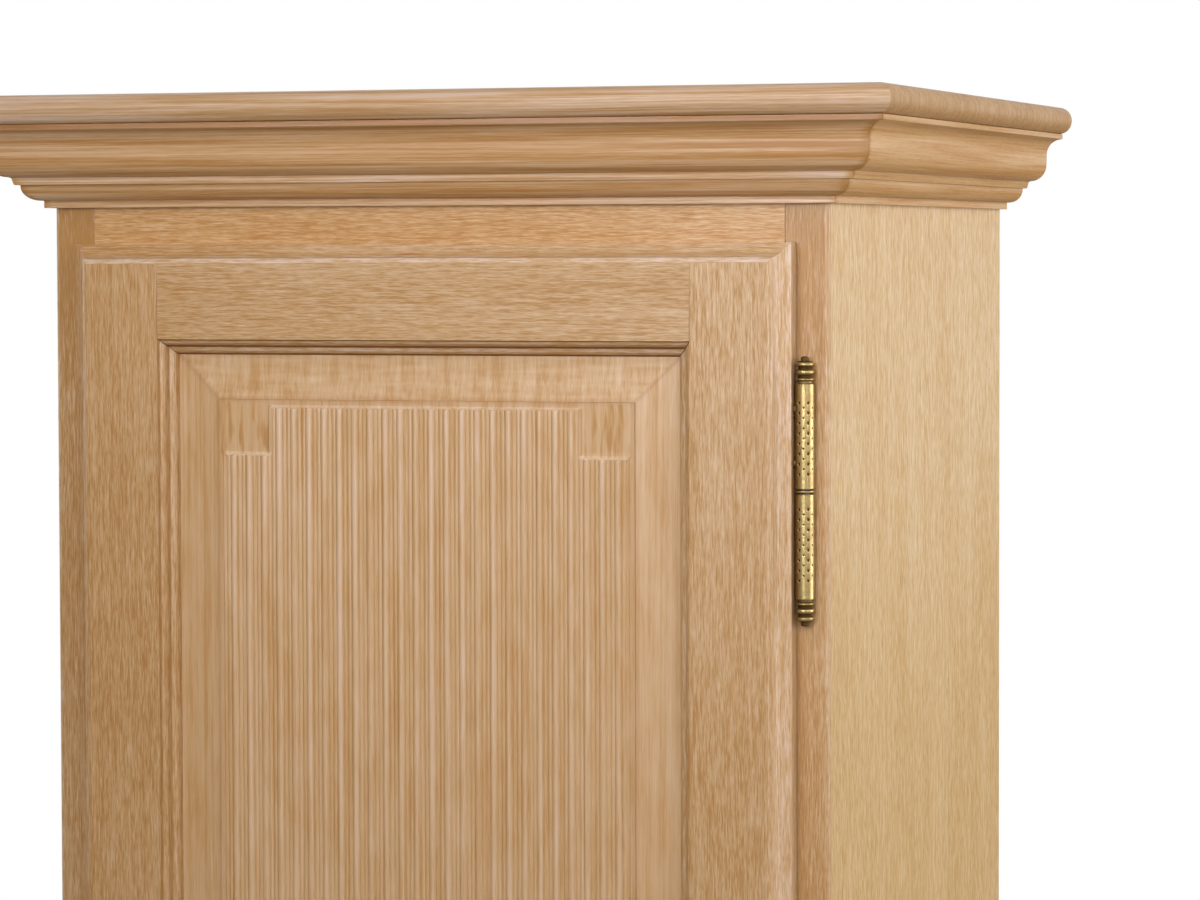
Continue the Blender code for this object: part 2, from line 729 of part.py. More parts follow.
def knuckle(low, high, pin_end):
    """Sleeve of one hinge half: bored for the pin at one end and the finial at the other."""
    inward = 1 if pin_end == low else -1
    other = high if pin_end == low else low
    bore = HINGE_PIN_RADIUS + SEAT_GAP
    socket = SPIGOT_RADIUS + SEAT_GAP
    slope = KNUCKLE_CHAMFER
    outline = [
        (0, pin_end + inward * (HINGE_PIN_SEAT + SEAT_GAP)),
        (bore, pin_end + inward * (HINGE_PIN_SEAT + SEAT_GAP)),
        (bore, pin_end),
        (KNUCKLE_RADIUS - slope, pin_end),
        (KNUCKLE_RADIUS, pin_end + inward * slope),
        (KNUCKLE_RADIUS, other - inward * slope),
        (KNUCKLE_RADIUS - slope, other),
        (socket, other),
        (socket, other - inward * (SPIGOT_LENGTH + SEAT_GAP)),
        (0, other - inward * (SPIGOT_LENGTH + SEAT_GAP)),
    ]
    return turned(outline, along_z(AXIS_X, AXIS_Y), KNUCKLE_SIDES)


def finial(seat, direction):
    """Turned end piece with three beads and a button, its spigot in the sleeve."""
    outline = [
        (0, seat - direction * SPIGOT_LENGTH),
        (SPIGOT_RADIUS, seat - direction * SPIGOT_LENGTH),
        (SPIGOT_RADIUS, seat + direction * SEAT_GAP),
    ]
    for radius, rise in scaled(FINIAL_SHARES, KNUCKLE_RADIUS, FINIAL_LENGTH):
        outline.append((radius, seat + direction * rise))
    outline.append((0, outline[-1][1]))
    return turned(outline, along_z(AXIS_X, AXIS_Y), KNUCKLE_SIDES)


def make_hinge(place, foot, brass, steel, axis):
    """One pin hinge: two drill-in halves, pin, ring and two finials."""
    name = "hinge_" + place
    frame_low = foot + FINIAL_LENGTH + SEAT_GAP
    frame_high = frame_low + knuckle_length()
    ring_low = frame_high + SEAT_GAP
    ring_high = ring_low + RING_HEIGHT
    door_low = ring_high + SEAT_GAP
    door_high = foot + HINGE_LENGTH - FINIAL_LENGTH - SEAT_GAP
    core = (HINGE_PIN_RADIUS + SEAT_GAP + KNUCKLE_RADIUS) / 2
    frame_half = add_object(name + "_frame_half", knuckle(frame_low, frame_high, frame_high), brass, smooth=True)
    stems = []
    for z in stem_heights(foot, False):
        stems.append(rod(STEM_RADIUS, AXIS_Y + core, AXIS_Y + STEM_LENGTH, along_y(AXIS_X, z)))
    join(frame_half, merge(stems), name + "_frame_stems")
    door_half = add_object(name + "_door_half", knuckle(door_low, door_high, door_low), brass, smooth=True)
    stems = []
    for z in stem_heights(foot, True):
        stems.append(rod(STEM_RADIUS, AXIS_X - core, AXIS_X - STEM_LENGTH, along_x(AXIS_Y, z)))
    join(door_half, merge(stems), name + "_door_stems")
    upright = along_z(AXIS_X, AXIS_Y)
    pin_ends = (frame_high - HINGE_PIN_SEAT, door_low + HINGE_PIN_SEAT)
    add_object(name + "_pin", rod(HINGE_PIN_RADIUS, *pin_ends, upright, KNUCKLE_SIDES), steel, smooth=True)
    slope = KNUCKLE_CHAMFER
    ring_outline = [
        (HINGE_PIN_RADIUS + SEAT_GAP, ring_low),
        (KNUCKLE_RADIUS - slope, ring_low),
        (KNUCKLE_RADIUS, ring_low + slope),
        (KNUCKLE_RADIUS, ring_high - slope),
        (KNUCKLE_RADIUS - slope, ring_high),
        (HINGE_PIN_RADIUS + SEAT_GAP, ring_high),
    ]
    add_object(name + "_ring", turned(ring_outline, upright, KNUCKLE_SIDES), brass, smooth=True)
    add_object(name + "_finial_low", finial(frame_low, -1), brass, smooth=True)
    top_finial = add_object(name + "_finial_high", finial(door_high, 1), brass, smooth=True)
    carry(axis, door_half)
    carry(axis, top_finial)


def lock_inside():
    """Rear of the door, the flange's rear and the inside of the case's back wall."""
    near = DOOR_BACK + SEAT_GAP + FLANGE_THICKNESS
    return near, DOOR_BACK + SEAT_GAP + LOCK_DEPTH - LOCK_WALL


def bolt_near():
    """Front face of the bolt."""
    return bolt_far() - BOLT_THICKNESS


def bolt_far():
    """Rear face of the bolt."""
    return lock_inside()[1] - SEAT_GAP


def bolt_foot():
    """Underside of the bolt."""
    return DOOR_MIDDLE + BOLT_RISE


def bolt_head():
    """Upper side of the bolt."""
    return bolt_foot() + BOLT_HEIGHT


def strike_y():
    """Middle of the strike plate, from front to back."""
    return (bolt_near() + bolt_far()) / 2


def strike_screw_heights():
    """Heights of the two strike screws."""
    middle = (bolt_foot() + bolt_head()) / 2
    offset = (BOLT_HEIGHT + STRIKE_HEIGHT) / 4
    return middle - offset, middle + offset


def tack_heights():
    """Heights of the two escutcheon tacks."""
    offset = ESCUTCHEON_HEIGHT * PLATE_SHARES[3][1]
    return DOOR_MIDDLE - offset, DOOR_MIDDLE + offset


def lock_screw_places():
    """Places of the four lock screws on the flange, as (x, z)."""
    places = []
    for z in (DOOR_MIDDLE - LOCK_BELOW - FLANGE_LAP / 2, DOOR_MIDDLE + LOCK_ABOVE + FLANGE_LAP / 2):
        for x in (LOCK_LEFT + FLANGE_LAP / 2, LOCK_LEFT + LOCK_WIDTH - FLANGE_LAP / 2):
            places.append((x, z))
    return places


def keyhole(front, back):
    """Round hole with a slot below it, right through a plate or the stile."""
    radius = SHANK_RADIUS + KEYHOLE_CLEARANCE
    half = BIT_WIDTH / 2 + BIT_CLEARANCE
    reach = BIT_REACH + BIT_CLEARANCE
    bend = math.degrees(math.asin(half / radius))
    outline = arc((0, 0), (radius, radius), -90 + bend, 270 - bend, SMALL_SIDES)
    outline += [(-half, -reach), (half, -reach)]
    outline = [(KEY_X + a, DOOR_MIDDLE + b) for a, b in outline]
    ends = (front - DRILL_OVERRUN, back + DRILL_OVERRUN)
    return prism(outline, *ends, lambda a, b, along: (a, along, b))


def lock_side_drills():
    """Screw and tack holes in the lock-side stile."""
    drills = []
    for x, z in lock_screw_places():
        ends = (DOOR_BACK + DRILL_OVERRUN, DOOR_BACK - SCREW_LENGTH - SEAT_GAP)
        drills.append(rod(SCREW_RADIUS + SEAT_GAP, *ends, along_y(x, z)))
    for z in tack_heights():
        ends = (DOOR_FACE - DRILL_OVERRUN, DOOR_FACE + TACK_LENGTH + SEAT_GAP)
        drills.append(rod(TACK_RADIUS + SEAT_GAP, *ends, along_y(KEY_X, z)))
    return drills


def screw(head_under, direction, place, radius, head_radius, head_height, length):
    """Round-headed screw or tack; its shank runs in the given direction from under the head."""
    outline = [
        (0, head_under - direction * head_height),
        (head_radius / 2, head_under - direction * head_height),
        (head_radius, head_under),
        (radius, head_under),
        (radius, head_under + direction * length),
        (0, head_under + direction * length),
    ]
    return turned(outline, place, SMALL_SIDES)


def sunk_screw(surface, direction, place):
    """Flat-headed screw let into a plate, its head level with the surface."""
    outline = [
        (0, surface),
        (SCREW_HEAD_RADIUS, surface),
        (SCREW_RADIUS, surface + direction * SCREW_HEAD_HEIGHT),
        (SCREW_RADIUS, surface + direction * SCREW_LENGTH),
        (0, surface + direction * SCREW_LENGTH),
    ]
    return turned(outline, place, SMALL_SIDES)


def make_lock(steel, brass, door_axis, key_axis):
    """Box lock on the back of the stile, its bolt, strike, key and front plate."""
    near, far = lock_inside()
    right = LOCK_LEFT + LOCK_WIDTH
    low, high = DOOR_MIDDLE - LOCK_BELOW, DOOR_MIDDLE + LOCK_ABOVE
    seat = DOOR_BACK + SEAT_GAP
    case = add_object(
        "lock_case",
        box((LOCK_LEFT, seat, low - FLANGE_LAP), (right, near, high + FLANGE_LAP)),
        steel,
    )
    join(case, box((LOCK_LEFT, seat, low), (right, far + LOCK_WALL, high)), "lock_case_box")
    wall = LOCK_WALL
    cut(case, box((LOCK_LEFT + wall, seat - DRILL_OVERRUN, low + wall), (right - wall, far, high - wall)), "lock_case_room")
    slot_low = (LOCK_LEFT - DRILL_OVERRUN, bolt_near() - SEAT_GAP, bolt_foot() - SEAT_GAP)
    slot_high = (LOCK_LEFT + wall + DRILL_OVERRUN, far, bolt_head() + SEAT_GAP)
    cut(case, box(slot_low, slot_high), "lock_case_slot")
    drills = [rod(SHANK_RADIUS + KEYHOLE_CLEARANCE, near, far + wall + DRILL_OVERRUN, along_y(KEY_X, DOOR_MIDDLE))]
    for x, z in lock_screw_places():
        drills.append(rod(SCREW_RADIUS + SEAT_GAP, seat - DRILL_OVERRUN, near + DRILL_OVERRUN, along_y(x, z)))
    cut(case, merge(drills), "lock_case_drills")
    carry(door_axis, case)

    bolt_end = KEY_X + TALON_WIDTH / 2 + BOLT_BACK_CLEARANCE
    bolt_low = (LOCK_LEFT + SEAT_GAP, bolt_near(), bolt_foot())
    bolt = add_object("lock_bolt", box(bolt_low, (bolt_end, bolt_far(), bolt_head())), steel)
    talon_low = (KEY_X - TALON_WIDTH / 2, near, bolt_foot() - DRILL_OVERRUN)
    talon_high = (KEY_X + TALON_WIDTH / 2, far + SEAT_GAP, bolt_foot() + TALON_DEPTH)
    cut(bolt, box(talon_low, talon_high), "lock_bolt_talon")
    carry(door_axis, bolt)

    inner = -INNER + SEAT_GAP
    middle = (bolt_foot() + bolt_head()) / 2
    half_height, half_width = STRIKE_HEIGHT / 2, STRIKE_WIDTH / 2
    plate_low = (inner, strike_y() - half_width, middle - half_height)
    plate_high = (inner + PLATE_THICKNESS, strike_y() + half_width, middle + half_height)
    strike = add_object("lock_strike", box(plate_low, plate_high), brass)
    window_low = (inner - DRILL_OVERRUN, bolt_near() - BIT_CLEARANCE, bolt_foot() - BIT_CLEARANCE)
    window_high = (inner + DRILL_OVERRUN + PLATE_THICKNESS, bolt_far() + BIT_CLEARANCE, bolt_head() + BIT_CLEARANCE)
    cut(strike, box(window_low, window_high), "lock_strike_window")
    drills = []
    for z in strike_screw_heights():
        outline = [
            (0, plate_high[0] + DRILL_OVERRUN),
            (SCREW_HEAD_RADIUS + SEAT_GAP, plate_high[0] + DRILL_OVERRUN),
            (SCREW_HEAD_RADIUS + SEAT_GAP, plate_high[0]),
            (SCREW_RADIUS + SEAT_GAP, plate_high[0] - SCREW_HEAD_HEIGHT),
            (SCREW_RADIUS + SEAT_GAP, inner - DRILL_OVERRUN),
            (0, inner - DRILL_OVERRUN),
        ]
        drills.append(turned(outline, along_x(strike_y(), z), SMALL_SIDES))
    cut(strike, merge(drills), "lock_strike_drills")

    face = DOOR_FACE - SEAT_GAP
    quarter = scaled(PLATE_SHARES, ESCUTCHEON_WIDTH, ESCUTCHEON_HEIGHT)
    half_outline = quarter + [(x, -z) for x, z in reversed(quarter)]
    outline = half_outline + [(-x, z) for x, z in reversed(half_outline[1:-1])]
    outline = [(KEY_X + x, DOOR_MIDDLE + z) for x, z in outline]
    plate = prism(outline, face - PLATE_THICKNESS, face, lambda a, b, along: (a, along, b))
    plate = add_object("escutcheon", plate, brass)
    cut(plate, keyhole(face - PLATE_THICKNESS, face), "escutcheon_keyhole")
    tack_drills = []
    for z in tack_heights():
        ends = (face - PLATE_THICKNESS - DRILL_OVERRUN, face + DRILL_OVERRUN)
        tack_drills.append(rod(TACK_RADIUS + SEAT_GAP, *ends, along_y(KEY_X, z)))
    cut(plate, merge(tack_drills), "escutcheon_drills")
    carry(door_axis, plate)
    make_key(face - PLATE_THICKNESS, far + wall, brass, key_axis)


def make_key(plate_front, tip, material, key_axis):
    """Key with a ring bow, collar, shank and bit; it turns about its shank."""
    start = plate_front - SHANK_SHOWING
    shank = [
        (0, start - BOW_BAND / 2),
        (SHANK_RADIUS, start - BOW_BAND / 2),
        (SHANK_RADIUS, start),
        (COLLAR_RADIUS, start + SEAT_GAP),
        (COLLAR_RADIUS, start + COLLAR_LENGTH),
        (SHANK_RADIUS, start + COLLAR_LENGTH + SEAT_GAP),
        (SHANK_RADIUS, tip),
        (0, tip),
    ]
    mesh = turned(shank, along_y(KEY_X, DOOR_MIDDLE), SMALL_SIDES)
    key = add_object("key", mesh, material, pivot=(KEY_X, start, DOOR_MIDDLE), smooth=True)
    middle = start - BOW_LENGTH / 2
    half = BOW_THICKNESS / 2
    radii = (BOW_LENGTH / 2, BOW_HEIGHT / 2)
    hole = (radii[0] - BOW_BAND, radii[1] - BOW_BAND)
    outer = arc((middle, DOOR_MIDDLE), radii, 0, 360, BOW_SIDES)[:-1]
    inner = arc((middle, DOOR_MIDDLE), hole, 0, 360, BOW_SIDES)[:-1]
    bow = bmesh.new()
    rings = []
    for points, x in ((outer, KEY_X - half), (outer, KEY_X + half), (inner, KEY_X + half), (inner, KEY_X - half)):
        rings.append([(x, y, z) for y, z in points])
    skin_rings(bow, rings, closed=True)
    join(key, merge([bow]), "key_bow")
    near, far = lock_inside()
    bit_near = (near + far - BIT_DEPTH) / 2
    bit = box(
        (KEY_X - BIT_WIDTH / 2, bit_near, DOOR_MIDDLE - BIT_REACH),
        (KEY_X + BIT_WIDTH / 2, bit_near + BIT_DEPTH, DOOR_MIDDLE),
    )
    join(key, bit, "key_bit")
    carry(key_axis, key)


def make_fasteners(steel, brass, axis):
    """Lock screws, strike screws and escutcheon tacks."""
    flange = lock_inside()[0] + SEAT_GAP
    sizes = (SCREW_RADIUS, SCREW_HEAD_RADIUS, SCREW_HEAD_HEIGHT, SCREW_LENGTH)
    for number, (x, z) in enumerate(lock_screw_places(), start=1):
        mesh = screw(flange, -1, along_y(x, z), *sizes)
        carry(axis, add_object(f"lock_screw_{number}", mesh, steel, smooth=True))
    plate = -INNER + SEAT_GAP + PLATE_THICKNESS
    for number, z in enumerate(strike_screw_heights(), start=1):
        mesh = sunk_screw(plate, -1, along_x(strike_y(), z))
        add_object(f"strike_screw_{number}", mesh, brass, smooth=True)
    front = DOOR_FACE - 2 * SEAT_GAP - PLATE_THICKNESS
    sizes = (TACK_RADIUS, TACK_HEAD_RADIUS, TACK_HEAD_HEIGHT, TACK_LENGTH)
    for number, z in enumerate(tack_heights(), start=1):
        mesh = screw(front, 1, along_y(KEY_X, z), *sizes)
        carry(axis, add_object(f"escutcheon_tack_{number}", mesh, brass, smooth=True))


def make_key_axis(door_axis):
    """Empty on the key's shank, carried by the door."""
    axis = bpy.data.objects.new("key_axis", None)
    axis.location = (KEY_X, DOOR_FACE, DOOR_MIDDLE)
    bpy.context.collection.objects.link(axis)
    return axis


def main():
    """Build every piece of the highboard."""
    clear_scene()
    side_wood = make_material("side_wood", (0.62, 0.42, 0.22), 0.55)
    front_wood = make_material("front_wood", (0.53, 0.32, 0.17), 0.5)
    panel_wood = make_material("panel_wood", (0.58, 0.37, 0.21), 0.5)
    cornice_wood = make_material("cornice_wood", (0.58, 0.36, 0.19), 0.5)
    inner_wood = make_material("inner_wood", (0.62, 0.43, 0.25), 0.6)
    brass = make_material("antique_brass", (0.42, 0.30, 0.11), 0.35, 1.0)
    steel = make_material("steel", (0.45, 0.43, 0.40), 0.4, 1.0)

    make_sides(side_wood)
    make_boards(front_wood, inner_wood, inner_wood)
    make_top_board(cornice_wood)
    make_mitred_run("cornice", cornice_outline(), CORNICE_FOOT, cornice_wood)
    make_mitred_run("plinth", plinth_outline(), 0, cornice_wood)
    make_shelves(inner_wood, steel)
    door_axis = hang_on_axis()
    key_axis = make_key_axis(door_axis)
    make_door_frame(front_wood, door_axis)
    make_door_panel(panel_wood, door_axis)
    for place, foot in hinge_feet().items():
        make_hinge(place, foot, brass, steel, door_axis)
    make_lock(steel, brass, door_axis, key_axis)
    make_fasteners(steel, brass, door_axis)
    carry(door_axis, key_axis)


main()
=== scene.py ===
"""Highboard: the dressed model of a tall wooden cupboard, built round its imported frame."""

import json
import math

import bmesh
import bpy
from bpy.props import FloatProperty, FloatVectorProperty, IntProperty, PointerProperty
from mathutils import Matrix, Vector

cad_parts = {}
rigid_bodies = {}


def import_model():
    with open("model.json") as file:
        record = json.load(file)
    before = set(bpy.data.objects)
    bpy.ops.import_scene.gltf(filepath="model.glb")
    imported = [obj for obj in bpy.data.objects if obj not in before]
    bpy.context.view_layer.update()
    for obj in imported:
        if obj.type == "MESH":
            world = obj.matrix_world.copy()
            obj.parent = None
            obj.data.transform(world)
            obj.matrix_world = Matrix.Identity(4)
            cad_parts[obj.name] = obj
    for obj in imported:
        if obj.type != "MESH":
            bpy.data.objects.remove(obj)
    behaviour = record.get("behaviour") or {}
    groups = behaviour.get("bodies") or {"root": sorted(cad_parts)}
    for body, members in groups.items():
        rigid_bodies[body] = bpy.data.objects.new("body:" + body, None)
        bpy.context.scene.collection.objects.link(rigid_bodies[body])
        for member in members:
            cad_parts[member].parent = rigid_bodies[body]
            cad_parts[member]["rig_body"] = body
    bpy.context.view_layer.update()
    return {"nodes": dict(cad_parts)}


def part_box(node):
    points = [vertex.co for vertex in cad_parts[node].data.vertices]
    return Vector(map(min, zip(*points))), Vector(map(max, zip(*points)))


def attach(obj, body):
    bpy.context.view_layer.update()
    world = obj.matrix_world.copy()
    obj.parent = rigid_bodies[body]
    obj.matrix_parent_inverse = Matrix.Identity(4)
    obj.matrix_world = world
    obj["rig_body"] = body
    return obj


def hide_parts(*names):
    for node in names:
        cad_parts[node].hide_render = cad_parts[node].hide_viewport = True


bl_info = {
    "name": "Highboard",
    "version": (1, 0, 0),
    "blender": (4, 5, 0),
    "location": "View3D > Sidebar > Highboard",
    "description": "Dresses the packed highboard with shaped wood, hinges and a lock",
    "category": "Object",
}

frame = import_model()

# Sizes of the solids that the dressed pieces follow, in metres
SEAT_GAP = 0.0003
STILE_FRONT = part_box("side_right")[0].y
EDGE_MOULD_WIDTH = 0.0118
JOINT_CLOSING = 0.00026
DOOR_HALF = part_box("door_stile_hinge_side")[1].x
DOOR_FACE, DOOR_BACK = (corner.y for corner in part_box("door_stile_hinge_side"))
BACK_CLOSING = 0.00030
LEDGE_FRONT = -0.213066
SLOPE_FRONT = -0.213682
SLOPE_REAR = -0.212506
TONGUE_DEPTH = 0.009
TONGUE_THICKNESS = 0.0054
BEVEL_WIDTH = 0.0275
BEVEL_RISE = 0.0030
FIELD_STEP = 0.0009
BAND_RISE = 0.0009
BAND_MARGIN = 0.0035
BAND_TOP_MARGIN = 0.0045
CORNER_BLOCK_HEIGHT = 0.0335
SHORT_REEDS = 3
REED_PITCH = 0.0099
REED_WIDTH = 0.0046
REED_HEIGHT = 0.0012
NOTCH_REACH = 0.0064
REED_END_MARGIN = 0.0004
REED_END_LENGTH = 0.0014
KNUCKLE_RADIUS = 0.0056
HINGE_AXIS = (0.2365, -0.19625)
HINGE_PIN_RADIUS = 0.0033
HINGE_PIN_SEAT = 0.0343
SPIGOT_RADIUS = 0.0025
SPIGOT_LENGTH = 0.008
STEM_RADIUS = 0.003
STEM_ROOT = 0.0044
STEM_LENGTH = 0.026
STEM_SPACING = 0.032
SHANK_RADIUS = 0.0025
SHANK_EASING = 0.0008
COLLAR_RADIUS = 0.0036
BOW_BAND = 0.0048
BOW_PROPORTION = 23 / 25
BIT_REACH = 0.009
BIT_HALF = 0.0012
BIT_CUT = 0.0060
# The bit's ward cuts: start and end as shares of its length, and how much shallower each is
WARD_CUTS = ((0.28, 0.44, 0.0), (0.66, 0.80, 0.0010))

# Shapes that only the dressed model has
WELD_DISTANCE = 0.000002
FLAT_ANGLE = math.radians(1)
CREASE_ANGLE = math.radians(34)
BOARD_CREASE = math.radians(20)
EASED_ANGLE = math.radians(27)
FLAT_WIDTH = 0.005
SHORTEST_EDGE = 0.02
CORNER_MATCH = 0.0001
LIPPING_KEPT = 0.004
LIPPING_MARGIN = 0.0002
BEVEL_STEPS = 10
BEVEL_HOLLOW = 1.7
STEP_WIDTH = 0.0003
TOP_COVE = 0.0020
BLOCK_COVE = 0.0048
COVE_HOLLOW = 2.6
BAND_EDGE = 0.0007
SHOULDER_CROWN = 0.00028
VALLEY_DEPTH = 0.0003
VALLEY_WIDTH = 0.0007
VALLEY_EDGE = (REED_PITCH - VALLEY_WIDTH) / 2
SHOULDER_STEPS = 5
# Pale crest lines on the reeds, partly wear and partly painted highlight shifted toward the lamps, and
# painted highlight on the band's ends
CREST_HIGHLIGHT_SHIFT = 0.0006
CREST_HIGHLIGHT_REACH = 0.0017
BLOCK_COVE_SHEEN = 0.35
TOP_COVE_SHEEN = 0.6
COVE_STEPS = 7
END_STEPS = 4
LINE_SPACING = 0.00002
FOOT_FILLET = 0.0046
STEP_FILLET = (0.0140, 0.0192)
TOP_FILLET = 0.0032
HEAD_HEIGHT = 0.42
HEAD_RIM = 0.96
HEAD_DOME = 0.82
HEAD_START = 0.25
HEAD_STEPS = 5
SLOT_WIDTH = 0.26
SLOT_DEPTH = 0.5
PUNCH_COLUMNS = 12
PUNCH_LINES = (-1.0, -0.7, -0.35, 0.0, 0.35, 0.7, 1.0)
PUNCH_TURN = math.radians(-112.5)
PUNCH_SHIFT = 0.0012
PUNCH_SHADE = 1.25
SMALL_PUNCH = 0.68
SLEEVE_CHAMFER = 0.0005
SLEEVE_END = 0.003
STEM_SHADE = 0.8
BUD_SHADE = 0.9
TURNED_SIDES = 64
SCREW_SIDES = 32
ROD_SIDES = 24
BOW_SIDES = 48
BAND_SIDES = 16
BOW_HALF = 0.0017

# The hinge's ring from its flat end to its widest place: how far under the knuckle, how far up
RING_EDGE = ((0.0009, 0.0), (0.0006, 0.0003), (0.0001, 0.0006))
RING_BULGE = 0.0001
RING_SHADE = 0.00036
# The finial from its seat to its tip, as shares of the knuckle's radius and of its length
FINIAL_OUTLINE = (
    (0.82, 0.00), (0.80, 0.055), (0.78, 0.085), (0.93, 0.105), (0.99, 0.135), (0.93, 0.170),
    (0.78, 0.190), (0.74, 0.220), (0.74, 0.290), (0.80, 0.310), (0.95, 0.345), (1.00, 0.400),
    (0.96, 0.455), (0.82, 0.495), (0.73, 0.515), (0.72, 0.600), (0.80, 0.625), (0.92, 0.665),
    (0.94, 0.705), (0.86, 0.760), (0.68, 0.810), (0.46, 0.822), (0.41, 0.850), (0.41, 0.930),
    (0.34, 0.975), (0.18, 0.998),
)
FINIAL_NECK = 0.87
FINIAL_BUD = 0.8
# The key's collar: where it starts and ends past the bow, and its outline in shares of its radius
COLLAR_START = 0.0002
COLLAR_END = 0.0034
COLLAR_OUTLINE = ((0.92, 0.0005), (1.0, 0.0011), (0.86, 0.0017), (0.80, 0.0020), (1.0, 0.0026), (0.9, 0.0031))

COLOUR = {"subtype": "COLOR", "min": 0.0, "max": 1.0}
LENGTH = {"unit": "LENGTH"}


class WoodSettings(bpy.types.PropertyGroup):
    """Colours of the oiled wood."""

    oak_colour: FloatVectorProperty(
        name="Oak", description="Colour of the stiles and the sides' front edges",
        default=(0.445, 0.262, 0.113), **COLOUR,
    )
    rail_colour: FloatVectorProperty(
        name="Rails", description="Colour of the rails of the door and the carcass",
        default=(0.430, 0.253, 0.110), **COLOUR,
    )
    side_colour: FloatVectorProperty(
        name="Sides", description="Colour of the sides' faces", default=(0.585, 0.375, 0.150), **COLOUR
    )
    panel_colour: FloatVectorProperty(
        name="Panel", description="Colour of the reeded door panel", default=(0.485, 0.294, 0.139), **COLOUR
    )
    cornice_colour: FloatVectorProperty(
        name="Cornice", description="Colour of the top board, the cornice and the plinth",
        default=(0.430, 0.241, 0.101), **COLOUR,
    )
    inner_colour: FloatVectorProperty(
        name="Inside", description="Colour of the shelves, back, floor and ceiling",
        default=(0.600, 0.430, 0.250), **COLOUR,
    )
    pore_depth: FloatProperty(
        name="Pore depth", description="How deep the pores and fibres of the wood are",
        default=0.00012, min=0.0, **LENGTH,
    )


class MetalSettings(bpy.types.PropertyGroup):
    """Colours of the brass and the steel."""

    brass_colour: FloatVectorProperty(
        name="Brass", description="Colour of the hinges, key and plates where they are rubbed bright",
        default=(0.44, 0.325, 0.145), **COLOUR,
    )
    tarnish_colour: FloatVectorProperty(
        name="Tarnish", description="Colour of the brass in its grooves and punched marks",
        default=(0.075, 0.040, 0.012), **COLOUR,
    )
    steel_colour: FloatVectorProperty(
        name="Steel", description="Colour of the lock, screws and pins", default=(0.50, 0.49, 0.47), **COLOUR
    )


class ShapeSettings(bpy.types.PropertyGroup):
    """Small sizes of the dressed pieces."""

    board_easing: FloatProperty(
        name="Board easing", description="Width of the eased edges of boards",
        default=0.0007, min=0.0001, max=0.002, **LENGTH,
    )
    corner_easing: FloatProperty(
        name="Corner rounding", description="Width of the rounding on the sides' outer front corners",
        default=0.0026, min=0.0005, max=0.004, **LENGTH,
    )
    moulding_easing: FloatProperty(
        name="Moulding easing", description="Width of the eased edges of mouldings",
        default=0.00035, min=0.0001, max=0.001, **LENGTH,
    )
    metal_easing: FloatProperty(
        name="Metal easing", description="Width of the eased edges of metal plates",
        default=0.00025, min=0.00005, max=0.0006, **LENGTH,
    )
    reed_facets: IntProperty(
        name="Reed facets", description="Number of facets across each reed", default=12, min=6, max=24
    )
    punch_depth: FloatProperty(
        name="Punch depth", description="Depth of the punched marks on the hinges",
        default=0.00042, min=0.0, max=0.001, **LENGTH,
    )
    punch_radius: FloatProperty(
        name="Punch radius", description="Radius of the larger punched marks on the hinges",
        default=0.00095, min=0.0004, max=0.0012, **LENGTH,
    )
    punch_pitch: FloatProperty(
        name="Punch pitch", description="Distance from one punched mark to the next along the hinge",
        default=0.0060, min=0.003, max=0.01, **LENGTH,
    )
    punch_start: FloatProperty(
        name="Punch start", description="Distance from the finial to the first punched mark",
        default=0.0113, min=0.003, max=0.02, **LENGTH,
    )


class StudioSettings(bpy.types.PropertyGroup):
    """Camera, lamps and floor."""

    lens: FloatProperty(
        name="Lens", description="Focal length of the camera in millimetres",
        default=129.63, min=20.0, max=300.0,
    )
    camera_place: FloatVectorProperty(
        name="Camera place", description="Where the camera stands",
        default=(0.922, -2.64435, 1.2032), subtype="XYZ", **LENGTH,
    )
    camera_turn: FloatVectorProperty(
        name="Camera turn", description="How far the camera is turned left, tipped down and rolled",
        default=(math.radians(18.36), math.radians(2.63), math.radians(-0.16)),
        subtype="EULER", unit="ROTATION",
    )
    floor_colour: FloatVectorProperty(
        name="Floor", description="Colour of the studio floor", default=(0.62, 0.62, 0.61), **COLOUR
    )
    front_power: FloatProperty(
        name="Front lamp", description="Power of the near lamp in front of the door in watts",
        default=6.5, min=0.0,
    )
    corner_power: FloatProperty(
        name="Corner lamp", description="Power of the lamp off the hinge-side front corner in watts",
        default=7.8, min=0.0,
    )
    upper_power: FloatProperty(
        name="Upper lamp", description="Power of the lamp above and in front of the door in watts",
        default=5.6, min=0.0,
    )
    side_power: FloatProperty(
        name="Side lamp", description="Power of the soft lamp at the right in watts", default=25.0, min=0.0
    )
    far_power: FloatProperty(
        name="Far lamp", description="Power of the soft lamp at the left in watts", default=14.0, min=0.0
    )
    metal_view: FloatProperty(
        name="Room in metal", description="How much of the white room the metal mirrors",
        default=0.30, min=0.0, max=1.0,
    )
    sky_strength: FloatProperty(
        name="Room light", description="Brightness of the room all round", default=0.26, min=0.0
    )


def settings():
    """The four groups of settings of the scene."""
    return [getattr(bpy.context.scene, name) for name in GROUPS]


